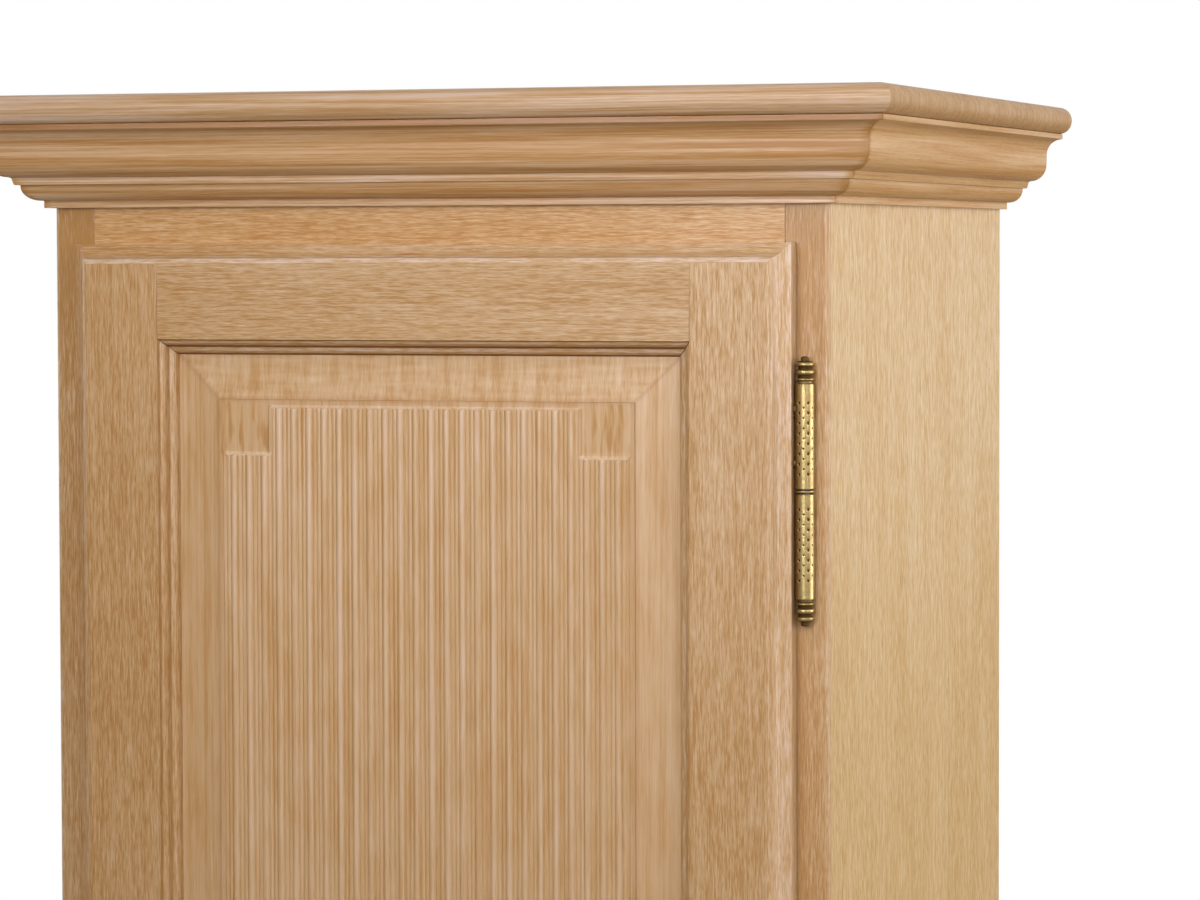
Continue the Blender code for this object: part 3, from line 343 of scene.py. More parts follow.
class Wire:
    """A shader socket that can stand in a sum."""

    def __init__(self, nodes, socket):
        self.nodes = nodes
        self.socket = socket

    def operate(self, operation, *parts, output=0):
        """Add the Math node for one operation, or the Vector Math node where a part is a vector."""
        vectors = [part for part in parts if isinstance(part, Wire) and part.socket.type != "VALUE"]
        kind = "ShaderNodeMath"
        if vectors or any(isinstance(part, tuple) for part in parts):
            kind = "ShaderNodeVectorMath"
            parts = [(part,) * 3 if isinstance(part, (int, float)) else part for part in parts]
        return self.nodes.node(kind, {"operation": operation}, dict(enumerate(parts)), output)

    def __add__(self, other):
        return self.operate("ADD", self, other)

    def __radd__(self, other):
        return self.operate("ADD", other, self)

    def __sub__(self, other):
        return self.operate("SUBTRACT", self, other)

    def __rsub__(self, other):
        return self.operate("SUBTRACT", other, self)

    def __mul__(self, other):
        return self.operate("MULTIPLY", self, other)

    def __rmul__(self, other):
        return self.operate("MULTIPLY", other, self)

    def __abs__(self):
        return self.operate("ABSOLUTE", self)

    def length(self):
        """How long a vector is."""
        return self.operate("LENGTH", self, output="Value")

    def along(self, direction):
        """How far a place lies along a direction."""
        return self.operate("DOT_PRODUCT", self, direction, output="Value")


class Nodes:
    """A tree of shader nodes."""

    def __init__(self, tree):
        self.tree = tree

    def node(self, kind, options=None, sockets=None, output=0):
        """Add one node: its options are set first, then its sockets are fed."""
        node = self.tree.nodes.new(kind)
        for name, value in (options or {}).items():
            if name == "stops":
                self.set_stops(node.color_ramp, value)
            else:
                setattr(node, name, value)
        for name, value in (sockets or {}).items():
            self.feed(node.inputs[name], value)
        return Wire(self, node.outputs[output])

    def set_stops(self, ramp, stops):
        """Give a colour ramp its stops."""
        while len(ramp.elements) < len(stops):
            ramp.elements.new(0.5)
        for element, (place, colour) in zip(ramp.elements, stops):
            element.position = place
            element.color = (*colour, 1.0)

    def feed(self, socket, value):
        """Link a wire to a socket, or set the socket's own value."""
        if isinstance(value, Wire):
            self.tree.links.new(value.socket, socket)
        elif socket.type == "RGBA" and len(value) == 3:
            socket.default_value = (*value, 1.0)
        else:
            socket.default_value = value

    def end_in(self, output, shader):
        """Make one shader the tree's surface."""
        self.feed(self.tree.nodes[output].inputs["Surface"], shader)


class Finish(Nodes):
    """A material and the nodes that make it."""

    def __init__(self, name):
        self.material = bpy.data.materials.new(name)
        self.material.use_nodes = True
        super().__init__(self.material.node_tree)
        self.shader = self.tree.nodes["Principled BSDF"]

    def set(self, name, value):
        """Feed one socket of the surface shader."""
        self.feed(self.shader.inputs[name], value)

    def place(self):
        """Places on the piece in metres."""
        return self.node("ShaderNodeTexCoord", output="Object")

    def noise(self, place, detail=1.0, roughness=0.5, output="Fac"):
        """Soft random tone, one feature to a unit of place."""
        sockets = {"Vector": place, "Scale": 1.0, "Detail": detail, "Roughness": roughness}
        return self.node("ShaderNodeTexNoise", {}, sockets, output)

    def spread(self, value, low, high, bottom=0.0, top=1.0):
        """Stretch a tone so that low to high fills bottom to top."""
        sockets = {"Value": value, "From Min": low, "From Max": high, "To Min": bottom, "To Max": top}
        return self.node("ShaderNodeMapRange", {"interpolation_type": "SMOOTHSTEP"}, sockets)

    def mix(self, factor, first, second):
        """Mix two colours."""
        return self.node("ShaderNodeMix", {"data_type": "RGBA"}, {0: factor, 6: first, 7: second}, 2)

    def attribute(self, name):
        """A number stored on the mesh."""
        return self.node("ShaderNodeAttribute", {"attribute_name": name}, {}, "Fac")

    def show_white(self, share):
        """Let part of the surface show plain white."""
        white = self.node("ShaderNodeEmission", {}, {"Color": (1.0, 1.0, 1.0), "Strength": 1.0})
        plain = Wire(self, self.shader.outputs[0])
        self.end_in("Material Output", self.node("ShaderNodeMixShader", {}, {0: share, 1: plain, 2: white}))

    def bump(self, height, distance, strength):
        """Raise the surface by a tone."""
        sockets = {"Height": height, "Distance": distance, "Strength": strength}
        self.set("Normal", self.node("ShaderNodeBump", {}, sockets))


def times(colour, factor):
    """A colour with each channel multiplied by its own factor."""
    return tuple(channel * share for channel, share in zip(colour, factor))


def tinted(colour, factor, warmth=0.0, yellowness=0.0):
    """A colour made lighter or darker, warmer or cooler, and more or less yellow."""
    shift = (1.0 + warmth * 0.5 - yellowness, 1.0, 1.0 - warmth - yellowness)
    return tuple(min(1.0, channel * factor * side) for channel, side in zip(colour, shift))


# Each wood: its marks as length, width and strength, its rings as spacing and strength,
# how far the grain wanders, how rough the surface is and how far its eased and marked faces turn pale, partly
# for wear and partly as painted sheen.
# One has its own colour for that wear and painted sheen, and the panel has lines across its end bevels and
# blotches on its blocks
WOODS = {
    "oak": {
        "marks": ((0.011, 0.0009, 1.2), (0.03, 0.0014, 0.75), (0.005, 0.0004, 0.9), (0.2, 0.03, 0.45)),
        "rings": (0.0042, 0.30),
        "wander": 0.0026,
        "roughness": 0.37,
        "rubbed": 0.75,
    },
    "sawn_oak": {
        "marks": ((0.009, 0.001, 1.25), (0.024, 0.0024, 0.6), (0.005, 0.0004, 0.7), (0.24, 0.04, 0.4)),
        "rings": (0.0060, 0.22),
        "wander": 0.0026,
        "roughness": 0.38,
    },
    "fine": {
        "marks": ((0.11, 0.0011, 1.25), (0.18, 0.0036, 1.15), (0.014, 0.0005, 0.6), (0.3, 0.04, 0.4)),
        "rings": (0.0034, 0.20),
        "wander": 0.0020,
        "roughness": 0.36,
        "rubbed": 0.85,
        "wear_and_sheen": (1.45, 1.72, 2.60),
    },
    "calm": {
        "marks": ((0.13, 0.0012, 0.7), (0.2, 0.005, 0.7), (0.014, 0.0006, 0.4), (0.3, 0.04, 0.4)),
        "rings": (0.0040, 0.15),
        "wander": 0.0020,
        "roughness": 0.46,
    },
    "end": {
        "marks": ((0.03, 0.0009, 0.95), (0.05, 0.0024, 0.75), (0.006, 0.0005, 0.6), (0.16, 0.03, 0.4)),
        "rings": (0.0028, 0.20),
        "wander": 0.0030,
        "roughness": 0.46,
    },
    "panel": {
        "marks": ((0.12, 0.0014, 0.45), (0.2, 0.005, 0.5), (0.014, 0.0006, 0.4), (0.034, 0.009, 0.4)),
        "rings": (0.0040, 0.14),
        "wander": 0.0016,
        "roughness": 0.37,
        "rubbed": 1.0,
        "sweep": (0.030, 0.0040, 0.45),
        "blotches": (0.024, 0.0042, 1.50),
    },
}
# How the tone of a wood changes its colour: place on the scale and a factor for red, green and blue
TONES = (
    (0.10, (0.79, 0.64, 0.38)),
    (0.35, (0.90, 0.81, 0.64)),
    (0.50, (1.00, 1.00, 1.00)),
    (0.65, (1.07, 1.12, 1.28)),
    (0.90, (1.20, 1.36, 1.90)),
)
# Paler colour factor for wear and painted sheen on eased and marked faces
WEAR_AND_SHEEN = (1.20, 1.38, 1.98)
# Darker colour factor for painted shade in creases, under overhangs and on faces turned from the lamps, and
# for a few dark lines
SHADE_AND_DARK_LINE_FACTOR = (0.52, 0.28, 0.08)
SHADE_AND_DARK_LINE_ROUGHNESS = 0.35
DRIFT_SIZE = (0.16, 0.035)
STREAK_SIZE = (0.10, 0.0016)
SEED_STEPS = (0.371, 0.593, 0.817)
# How pieces differ from the colour of their kind: a factor, warmth and yellowness
DARK_STRIP_TINT = (0.62, 0.50)
LIPPING_TINT = (0.97, 0.04)
RAIL_TINT = (1.09, 0.10)
# The lock-side stile darker and warmer: painted shade on the side away from the lamps
LOCK_STILE_SHADE_TINT = (0.92, 0.08)
# The top board paler and cooler, partly its own colour and partly painted sheen on its nose
TOP_TINT = (1.16, -0.27, -0.03)
END_TINT = (0.86, 0.23, 0.05)
RETURN_TINT = (1.08, 0.20, 0.05)
# How much painted highlight and painted light the moulded faces get, and how much painted shade and darker
# lines
RIM_WIDTH = 0.0005
RIM_SHEEN = 0.85
SLOPE_SHEEN = 0.6
LEDGE_DEPTH = 0.004
LEDGE_LIGHT = 0.8
FOOT_SHEEN = 0.5
RIM_SHADE = 0.15
UPRIGHT_SHADE = 0.12
TOP_FILLET_SHADE = 0.45
MITRE_WIDTH = 0.0004
MITRE_DARK_LINE = 0.28
STEP_SHADE = 0.25
OVER_REEDS_DARKENING = 0.20
# Darkened strips: painted shade on the lippings beside the door, a darker band high on them that is partly
# painted shade and partly a darker patch of wood, and a dark mitre joint on the cornice: direction, offset,
# reach and share of the darkening
SIDE_SHADE_STRIPS = (((1.0, 0.0, 0.0), DOOR_HALF, 0.013, 0.45), ((0.0, 0.0, 1.0), 1.20, 0.13, 0.65))
MITRE_STAINS = (((1.0, 1.0, 0.0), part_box("side_right")[1].x + STILE_FRONT, 0.0075, 0.9),)


def stretch(grain, along, across):
    """Scale of a pattern whose features measure along by across."""
    return tuple(1.0 / (along if axis == grain else across) for axis in "XYZ")


def wood(name, kind, grain, colour, seed, centre, dark_strips=()):
    """Oiled wood: fibres, flakes and pores along the grain, clouds, and rings round a far centre."""
    sizes = WOODS[kind]
    finish = Finish(name)
    shift = tuple(seed * step for step in SEED_STEPS)
    place = finish.place() + shift
    drift = finish.noise(place * stretch(grain, *DRIFT_SIZE), 2.0, output="Color")
    bent = place + (drift - 0.5) * sizes["wander"]
    heart = tuple(a + b for a, b in zip(centre, shift))
    radius = ((bent - heart) * tuple(float(axis != grain) for axis in "XYZ")).length()
    spacing, strength = sizes["rings"]
    ring_sockets = {"W": radius * (1.0 / spacing), "Scale": 1.0, "Detail": 2.0, "Roughness": 0.6}
    rings = finish.node("ShaderNodeTexNoise", {"noise_dimensions": "1D"}, ring_sockets)
    tone = 0.5 + (rings - 0.5) * strength
    layers = []
    for along, across, amount in sizes["marks"]:
        layer = finish.noise(bent * stretch(grain, along, across)) - 0.5
        tone = tone + layer * amount
        layers.append(layer)
    if "sweep" in sizes:
        along, across, amount = sizes["sweep"]
        lines = finish.noise(place * stretch("X", along, across)) - 0.5
        tone = tone + lines * finish.attribute("end_bevel") * amount
    if "blotches" in sizes:
        along, across, amount = sizes["blotches"]
        patches = finish.noise(bent * stretch(grain, along, across))
        tone = tone - finish.spread(patches, 0.50, 0.75) * finish.attribute("block") * amount * 0.3
    stops = [(at, tuple(min(1.0, channel) for channel in times(colour, factor))) for at, factor in TONES]
    base = finish.node("ShaderNodeValToRGB", {"stops": stops}, {"Fac": tone})
    raw = place - shift
    # Darken the given strips: painted shade on the lippings, dark joints at the mitres
    for direction, offset, reach, share in dark_strips:
        halves = abs(raw) * (1.0, 0.0, 0.0) + raw * (0.0, 1.0, 1.0)
        away = abs(halves.along(direction) - offset)
        dark = finish.spread(away + layers[0] * reach * 1.6, reach * 0.1, reach, share, 0.0)
        base = finish.mix(dark, base, tinted(colour, *DARK_STRIP_TINT))
    # Painted shade and a few dark lines, from marks on the mesh
    base = finish.mix(finish.attribute("quirk"), base, times(colour, SHADE_AND_DARK_LINE_FACTOR))
    # Pale marks on eased edges and marked faces: partly wear, partly painted sheen and highlight, full above
    # 1.2 m and fading below it, where the painted sheen ends
    streaks = finish.noise(bent * stretch(grain, *STREAK_SIZE))
    broken = finish.spread(streaks, 0.24, 0.54, sizes.get("rubbed", 0.0))
    height = raw.along((0.0, 0.0, 1.0))
    rubbed = finish.attribute("eased") * broken * finish.spread(height, 1.0, 1.2, 0.4, 1.0)
    finish.set("Base Color", finish.mix(rubbed, base, base * sizes.get("wear_and_sheen", WEAR_AND_SHEEN)))
    rough = sizes["roughness"]
    smooth = finish.spread(tone, 0.2, 0.8, rough + 0.08, rough - 0.06)
    finish.set("Roughness", smooth + finish.attribute("quirk") * SHADE_AND_DARK_LINE_ROUGHNESS)
    finish.bump(layers[0] + layers[2] * 0.8, bpy.context.scene.highboard_wood.pore_depth, 0.8)
    finish.set("Specular IOR Level", 0.55)
    return finish.material


def brass_finish():
    """Darkened brass, bright where it is rubbed and nearly black in its recesses."""
    metal = bpy.context.scene.highboard_metal
    finish = Finish("antique_brass_rubbed")
    place = finish.place()
    cloud = finish.noise(place * 260.0, 3.0, 0.6)
    fine = finish.noise(place * 1600.0, 2.0)
    pits = finish.noise(place * 620.0, 2.0, 0.6)
    recess = finish.attribute("recess")
    patina = finish.spread(cloud, 0.42, 0.72, 0.0, 0.45)
    base = finish.mix(patina, tuple(metal.brass_colour), tinted(metal.brass_colour, 0.55, 0.25))
    finish.set("Base Color", finish.mix(recess, base, tuple(metal.tarnish_colour)))
    finish.set("Metallic", 1.0)
    finish.set("Roughness", finish.spread(cloud, 0.3, 0.7, 0.31, 0.47) + recess * 0.3)
    finish.bump(fine + pits * 2.2 + cloud * 1.5, 0.00008, 0.45)
    return finish.material


def steel_finish():
    """Drawn steel with fine marks and a dull bloom."""
    colour = tuple(bpy.context.scene.highboard_metal.steel_colour)
    finish = Finish("steel_drawn")
    place = finish.place()
    lines = finish.noise(place * (240.0, 1500.0, 2600.0), 2.0, 0.6)
    cloud = finish.noise(place * 90.0, 3.0, 0.6)
    bloom = finish.spread(cloud, 0.35, 0.75, 0.0, 0.5)
    finish.set("Base Color", finish.mix(bloom, colour, tinted(colour, 0.62, 0.05)))
    finish.set("Metallic", 1.0)
    finish.set("Roughness", finish.spread(lines, 0.3, 0.7, 0.28, 0.46))
    finish.bump(lines, 0.00004, 0.4)
    return finish.material


def metals():
    """The brass and the steel, made when they are first asked for."""
    made = bpy.data.materials
    return made.get("antique_brass_rubbed") or brass_finish(), made.get("steel_drawn") or steel_finish()


def crease_edges(bm, crease):
    """Keep the shading apart at sharp edges and round every wide flat face."""
    wide = set()
    for face in bm.faces:
        if face.calc_area() > FLAT_WIDTH * max(edge.calc_length() for edge in face.edges):
            wide.add(face)
    for edge in bm.edges:
        turn = edge.calc_face_angle(0.0)
        edge.smooth = turn < crease and (turn < FLAT_ANGLE or wide.isdisjoint(edge.link_faces))


def make_piece(node, bm, finishes, slot, recess=None, crease=BOARD_CREASE):
    """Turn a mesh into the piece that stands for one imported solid."""
    bmesh.ops.recalc_face_normals(bm, faces=bm.faces)
    crease_edges(bm, crease)
    mesh = bpy.data.meshes.new(node + "_finished")
    bm.to_mesh(mesh)
    bm.free()
    mesh.shade_smooth()
    if recess:
        mesh.attributes.new("recess", "FLOAT", "POINT").data.foreach_set("value", recess)
    for finish in finishes:
        mesh.materials.append(finish)
    piece = bpy.data.objects.new(node + "_finished", mesh)
    bpy.context.scene.collection.objects.link(piece)
    if crease > BOARD_CREASE:
        piece.modifiers.new("even_shading", "WEIGHTED_NORMAL").keep_sharp = True
    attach(piece, frame["nodes"][node]["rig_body"])
    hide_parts(node)


def solid(node):
    """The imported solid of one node, welded, with its flat faces made whole."""
    bm = bmesh.new()
    bm.from_mesh(frame["nodes"][node].data)
    bm.normal_update()
    bmesh.ops.remove_doubles(bm, verts=bm.verts, dist=WELD_DISTANCE)
    bmesh.ops.dissolve_limit(bm, angle_limit=FLAT_ANGLE, verts=bm.verts, edges=bm.edges)
    return bm


def ease(bm, width, steps=2, shortest=SHORTEST_EDGE, chosen=None):
    """Round the edges of a mesh that are sharp, long enough and chosen, and mark the new faces."""
    layer = bm.faces.layers.float.get("eased") or bm.faces.layers.float.new("eased")
    edges = []
    for edge in bm.edges:
        if len(edge.link_faces) != 2 or edge.calc_length() < shortest:
            continue
        if edge.calc_face_angle(0.0) > EASED_ANGLE and (chosen is None or chosen(edge)):
            edges.append(edge)
    rounding = {"offset": width, "offset_type": "OFFSET", "segments": steps, "profile": 0.5}
    made = bmesh.ops.bevel(bm, geom=edges, affect="EDGES", clamp_overlap=True, **rounding)
    for face in made["faces"]:
        face[layer] = 1.0


def eased_piece(node, finish, slot, width, steps=2, shortest=SHORTEST_EDGE):
    """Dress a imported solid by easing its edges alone."""
    bm = solid(node)
    ease(bm, width, steps, shortest)
    make_piece(node, bm, [finish], slot)


def cut_across(bm, place, direction):
    """Cut every face of a mesh along a plane."""
    everything = list(bm.verts) + list(bm.edges) + list(bm.faces)
    bmesh.ops.bisect_plane(bm, geom=everything, plane_co=place, plane_no=direction)


def full_turn(count):
    """Even angles round a circle."""
    return [math.tau * step / count for step in range(count)]


def skin(bm, rings):
    """Add the faces between neighbouring rings of points. A ring may be a single point."""
    for first, second in zip(rings, rings[1:]):
        count = max(len(first), len(second))
        for side in range(count):
            following = (side + 1) % count
            corners = [first[side % len(first)], first[following % len(first)]]
            corners += [second[following % len(second)], second[side % len(second)]]
            bm.faces.new(list(dict.fromkeys(corners)))


def turned(outline, angles, place, bm=None):
    """Turn an outline of (radius, along) points about an axis, into a mesh of its own or a given one."""
    bm = bm or bmesh.new()
    rings = []
    for radius, along in outline:
        if radius == 0:
            rings.append([bm.verts.new(place(0.0, 0.0, along))])
        else:
            spots = [place(radius * math.cos(turn), radius * math.sin(turn), along) for turn in angles]
            rings.append([bm.verts.new(spot) for spot in spots])
    skin(bm, rings)
    return bm


def add_rod(bm, radius, start, end, place):
    """Add a round bar with softened ends to a mesh."""
    soft = math.copysign(radius * 0.15, end - start)
    outline = [(0, start), (radius * 0.85, start), (radius, start + soft)]
    outline += [(radius, end - soft), (radius * 0.85, end), (0, end)]
    turned(outline, full_turn(ROD_SIDES), place, bm)


def along_x(y, z):
    """Placer for something that runs along X."""
    return lambda a, b, along: (along, y + a, z + b)


def along_y(x, z):
    """Placer for something that runs along Y."""
    return lambda a, b, along: (x + a, along, z + b)


def along_z(x, y):
    """Placer for something that runs along Z."""
    return lambda a, b, along: (x + a, y + b, along)


def smooth_outline(points, steps):
    """Points of a curve that runs through the given ones."""
    result = []
    last = len(points) - 1
    for here in range(last):
        near = [points[min(max(here + step, 0), last)] for step in (-1, 0, 1, 2)]
        for step in range(steps):
            t = step / steps
            point = []
            for a, b, c, d in zip(*near):
                bend = (2 * a - 5 * b + 4 * c - d) * t**2
                twist = (3 * b - a - 3 * c + d) * t**3
                point.append((2 * b + (c - a) * t + bend + twist) / 2)
            result.append(tuple(point))
    result.append(tuple(points[last]))
    return result


def reed_section(reach):
    """Height of a reed, its shoulders and the valley beside them, that far from its middle."""
    half = REED_WIDTH / 2
    if reach < half:
        radius = (half**2 + REED_HEIGHT**2) / (2 * REED_HEIGHT)
        return math.sqrt(radius**2 - reach**2) - radius + REED_HEIGHT
    if reach < VALLEY_EDGE:
        share = (reach - half) / (VALLEY_EDGE - half)
        return SHOULDER_CROWN * 4 * share * (1 - share)
    return -VALLEY_DEPTH * (reach - VALLEY_EDGE) / (VALLEY_WIDTH / 2)


def tidy_lines(lines):
    """Sorted mesh lines without near doubles."""
    kept = []
    for line in sorted(lines):
        if not kept or line - kept[-1] > LINE_SPACING:
            kept.append(line)
    return kept


class PanelShape:
    """Where the front of the reeded panel lies. Places on it are measured from its middle."""

    def __init__(self, facets):
        low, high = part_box("door_panel")
        self.back = high.y
        self.front = high.y - TONGUE_THICKNESS
        self.middle = ((low.x + high.x) / 2, (low.z + high.z) / 2)
        self.half = ((high.x - low.x) / 2, (high.z - low.z) / 2)
        self.sight = tuple(half - TONGUE_DEPTH for half in self.half)
        self.field = tuple(sight - BEVEL_WIDTH for sight in self.sight)
        count = int(2 * (self.field[0] - BAND_MARGIN) / REED_PITCH)
        self.rows = [(number - (count - 1) / 2) * REED_PITCH for number in range(count)]
        self.notch = -self.rows[SHORT_REEDS] + NOTCH_REACH
        self.side = self.field[0] - BAND_MARGIN
        self.parts = ((self.notch, BAND_TOP_MARGIN, TOP_COVE), (self.side, CORNER_BLOCK_HEIGHT, BLOCK_COVE))
        self.facets = facets

    def lines_across(self):
        """Mesh lines from side to side."""
        outer = [self.half[0]] + self.bevel_lines(self.sight[0])
        for edge, _, _ in self.parts:
            outer += [edge + BAND_EDGE * share for share in (1.0, 0.5, 0.0)]
        lines = outer + [-x for x in outer]
        half = REED_WIDTH / 2
        shoulder = [half + (VALLEY_EDGE - half) * step / SHOULDER_STEPS for step in range(SHOULDER_STEPS + 1)]
        for row in self.rows:
            lines += [row - half * math.cos(math.pi * step / self.facets) for step in range(self.facets + 1)]
            for reach in shoulder + [REED_PITCH / 2]:
                lines += [row - reach, row + reach]
        return tidy_lines(lines)

    def lines_along(self):
        """Mesh lines from foot to top."""
        upper = [self.half[1]] + self.bevel_lines(self.sight[1])
        for _, margin, cove in self.parts:
            upper += [self.field[1] - margin + cove * step / COVE_STEPS for step in range(COVE_STEPS + 1)]
            start = margin + REED_END_MARGIN
            for step in range(END_STEPS + 1):
                turn = math.pi / 2 * step / END_STEPS
                upper.append(self.field[1] - start - REED_END_LENGTH * (1 - math.cos(turn)))
        upper += [self.field[1] * share for share in (0.6, 0.3)]
        return tidy_lines(upper + [0.0] + [-z for z in upper])

    def bevel_lines(self, sight):
        """Mesh lines down the hollow bevel to the step at the field's edge."""
        lines = [sight - (BEVEL_WIDTH - STEP_WIDTH) * step / BEVEL_STEPS for step in range(BEVEL_STEPS + 1)]
        return lines + [sight - BEVEL_WIDTH]

    def reed_at(self, x):
        """Middle of the nearest reed, whether it is a short one, and how far it stops from the end."""
        row = min(self.rows, key=lambda centre: abs(centre - x))
        short = abs(row) > self.notch
        return row, short, CORNER_BLOCK_HEIGHT if short else BAND_TOP_MARGIN

    def height(self, x, z):
        """How far the surface stands in front of the tongue's face."""
        inset = min(self.sight[0] - abs(x), self.sight[1] - abs(z))
        bevel_end = BEVEL_WIDTH - STEP_WIDTH
        if inset <= 0:
            return 0.0
        if inset < bevel_end + 1e-7:
            return BEVEL_RISE * (inset / bevel_end) ** BEVEL_HOLLOW
        return BEVEL_RISE + FIELD_STEP + self.relief(abs(x), self.field[1] - abs(z), x)

    def relief(self, out, end, x):
        """Height of the band and the reeds over the field."""
        band = 0.0
        for side, margin, cove in self.parts:
            across = min(1.0, max(0.0, 1.0 - (out - side) / BAND_EDGE))
            along = min(1.0, max(0.0, 1.0 + (end - margin) / cove)) ** COVE_HOLLOW
            band = max(band, min(across, along))
        row, _, margin = self.reed_at(x)
        reach = abs(x - row)
        run = (end - margin - REED_END_MARGIN) / REED_END_LENGTH
        if reach > REED_PITCH / 2 or run <= 0.0:
            return band * BAND_RISE
        swell = math.sqrt(1.0 - (1.0 - min(run, 1.0)) ** 2)
        return band * BAND_RISE + swell * reed_section(reach)

    def sheen_and_wear(self, x, z):
        """How pale a point is painted: on a reed's crest for wear and a painted highlight shifted toward the
        lamps, and on the band's ends for a painted highlight.
        """
        row, short, margin = self.reed_at(x)
        end = self.field[1] - abs(z)
        if end < margin + REED_END_MARGIN:
            cove = BLOCK_COVE * BLOCK_COVE_SHEEN if short else TOP_COVE * TOP_COVE_SHEEN
            on_band = abs(x) < (self.side if end > CORNER_BLOCK_HEIGHT - BLOCK_COVE else self.notch)
            return float(on_band and end > margin - cove)
        return max(0.0, 1.0 - (abs(x - row - CREST_HIGHLIGHT_SHIFT) / CREST_HIGHLIGHT_REACH) ** 2)

    def end_share(self, x, z):
        """One on the bevels at the panel's head and foot, zero elsewhere."""
        ends, sides = self.sight[1] - abs(z), self.sight[0] - abs(x)
        return float(ends < BEVEL_WIDTH + STEP_WIDTH and ends - sides < 0)

    def block(self, x, z):
        """One on the four corner blocks, zero elsewhere."""
        beside = self.notch < abs(x) < self.field[0]
        return float(beside and 0.0 < self.field[1] - abs(z) < CORNER_BLOCK_HEIGHT)

    def quirk(self, x, z):
        """Painted shade at the step along the field's edge, and dark lines on the bevel's mitres and over the
        reeds.
        """
        ends, sides = self.sight[1] - abs(z), self.sight[0] - abs(x)
        inset = min(ends, sides)
        if inset < 0.0:
            return 0.0
        if inset < BEVEL_WIDTH - STEP_WIDTH * 2:
            return MITRE_DARK_LINE if abs(ends - sides) < MITRE_WIDTH else 0.0
        if inset < BEVEL_WIDTH + STEP_WIDTH:
            return STEP_SHADE
        over_reeds = ends < BEVEL_WIDTH + BAND_TOP_MARGIN - TOP_COVE and abs(x) < self.notch
        return OVER_REEDS_DARKENING if over_reeds else 0.0

    def point(self, x, z):
        """A point of the panel's front."""
        return (self.middle[0] + x, self.front - self.height(x, z), self.middle[1] + z)


def panel_mesh(shape):
    """The reeded panel as one closed mesh: a fine front, plain edges and a plain back."""
    bm = bmesh.new()
    # Pale marks (wear and painted highlight) and marks of painted shade and dark lines, stored on the
    # vertices
    marks = {"eased": shape.sheen_and_wear, "end_bevel": shape.end_share, "block": shape.block, "quirk": shape.quirk}
    for name in marks:
        bm.verts.layers.float.new(name)
    layers = [(bm.verts.layers.float[name], measure) for name, measure in marks.items()]
    across = shape.lines_across()
    along = shape.lines_along()
    grid = [[bm.verts.new(shape.point(x, z)) for z in along] for x in across]
    for x, column in zip(across, grid):
        for z, vert in zip(along, column):
            for layer, measure in layers:
                vert[layer] = measure(x, z)
    for i in range(len(across) - 1):
        for j in range(len(along) - 1):
            a, b, c, d = grid[i][j], grid[i + 1][j], grid[i + 1][j + 1], grid[i][j + 1]
            if abs(a.co.y + c.co.y - b.co.y - d.co.y) < 1e-8:
                bm.faces.new((a, b, c, d))
            elif abs(a.co.y - c.co.y) > abs(b.co.y - d.co.y):
                bm.faces.new((a, b, c))
                bm.faces.new((a, c, d))
            else:
                bm.faces.new((a, b, d))
                bm.faces.new((b, c, d))
    corners = {}
    for i in (0, -1):
        for j in (0, -1):
            spot = grid[i][j].co
            corners[i, j] = bm.verts.new((spot.x, shape.back, spot.z))
    bm.faces.new([row[0] for row in grid] + [corners[-1, 0], corners[0, 0]])
    bm.faces.new([row[-1] for row in grid] + [corners[-1, -1], corners[0, -1]])
    bm.faces.new(grid[0] + [corners[0, -1], corners[0, 0]])
    bm.faces.new(grid[-1] + [corners[-1, -1], corners[-1, 0]])
    bm.faces.new([corners[0, 0], corners[-1, 0], corners[-1, -1], corners[0, -1]])
    return bm


def punch_angles(radius):
    """Angles of the mesh lines round a hinge sleeve, gathered at the punched marks."""
    half = radius / KNUCKLE_RADIUS
    angles = []
    for column in range(PUNCH_COLUMNS):
        centre = math.tau * column / PUNCH_COLUMNS
        angles += [centre + half * share for share in PUNCH_LINES]
        angles.append(centre + math.pi / PUNCH_COLUMNS)
    return [angle + PUNCH_TURN for angle in angles]


def sleeve_mesh(low, high, pin_end, shape):
    """One sleeve of a hinge with its punched marks, and how deep each point lies in a mark."""
    inward, other = (1.0, high) if pin_end == low else (-1.0, low)
    rows = int((high - low - 2 * shape.punch_start + shape.punch_pitch / 2) / shape.punch_pitch) + 1
    first = (low + high - (rows - 1) * shape.punch_pitch) / 2 - inward * PUNCH_SHIFT
    marks = [(first + row * shape.punch_pitch / 2, row % 2) for row in range(2 * rows - 1)]
    radius = shape.punch_radius
    heights = {low + SLEEVE_CHAMFER, low + SLEEVE_END, high - SLEEVE_END, high - SLEEVE_CHAMFER}
    for height, _ in marks:
        heights.update(height + radius * share for share in PUNCH_LINES)
    seat = pin_end + inward * HINGE_PIN_SEAT
    outline = [(0, seat), (HINGE_PIN_RADIUS, seat), (HINGE_PIN_RADIUS, pin_end)]
    outline.append((KNUCKLE_RADIUS - SLEEVE_CHAMFER, pin_end))
    outline += [(KNUCKLE_RADIUS, height) for height in sorted(heights, reverse=inward < 0)]
    socket, floor = SPIGOT_RADIUS + SEAT_GAP, other - inward * (SPIGOT_LENGTH + SEAT_GAP)
    outline += [(KNUCKLE_RADIUS - SLEEVE_CHAMFER, other), (socket, other), (socket, floor), (0, floor)]
    bm = turned(outline, punch_angles(radius), along_z(*HINGE_AXIS))
    return bm, [punch(vert, marks, radius, shape.punch_depth) for vert in bm.verts]


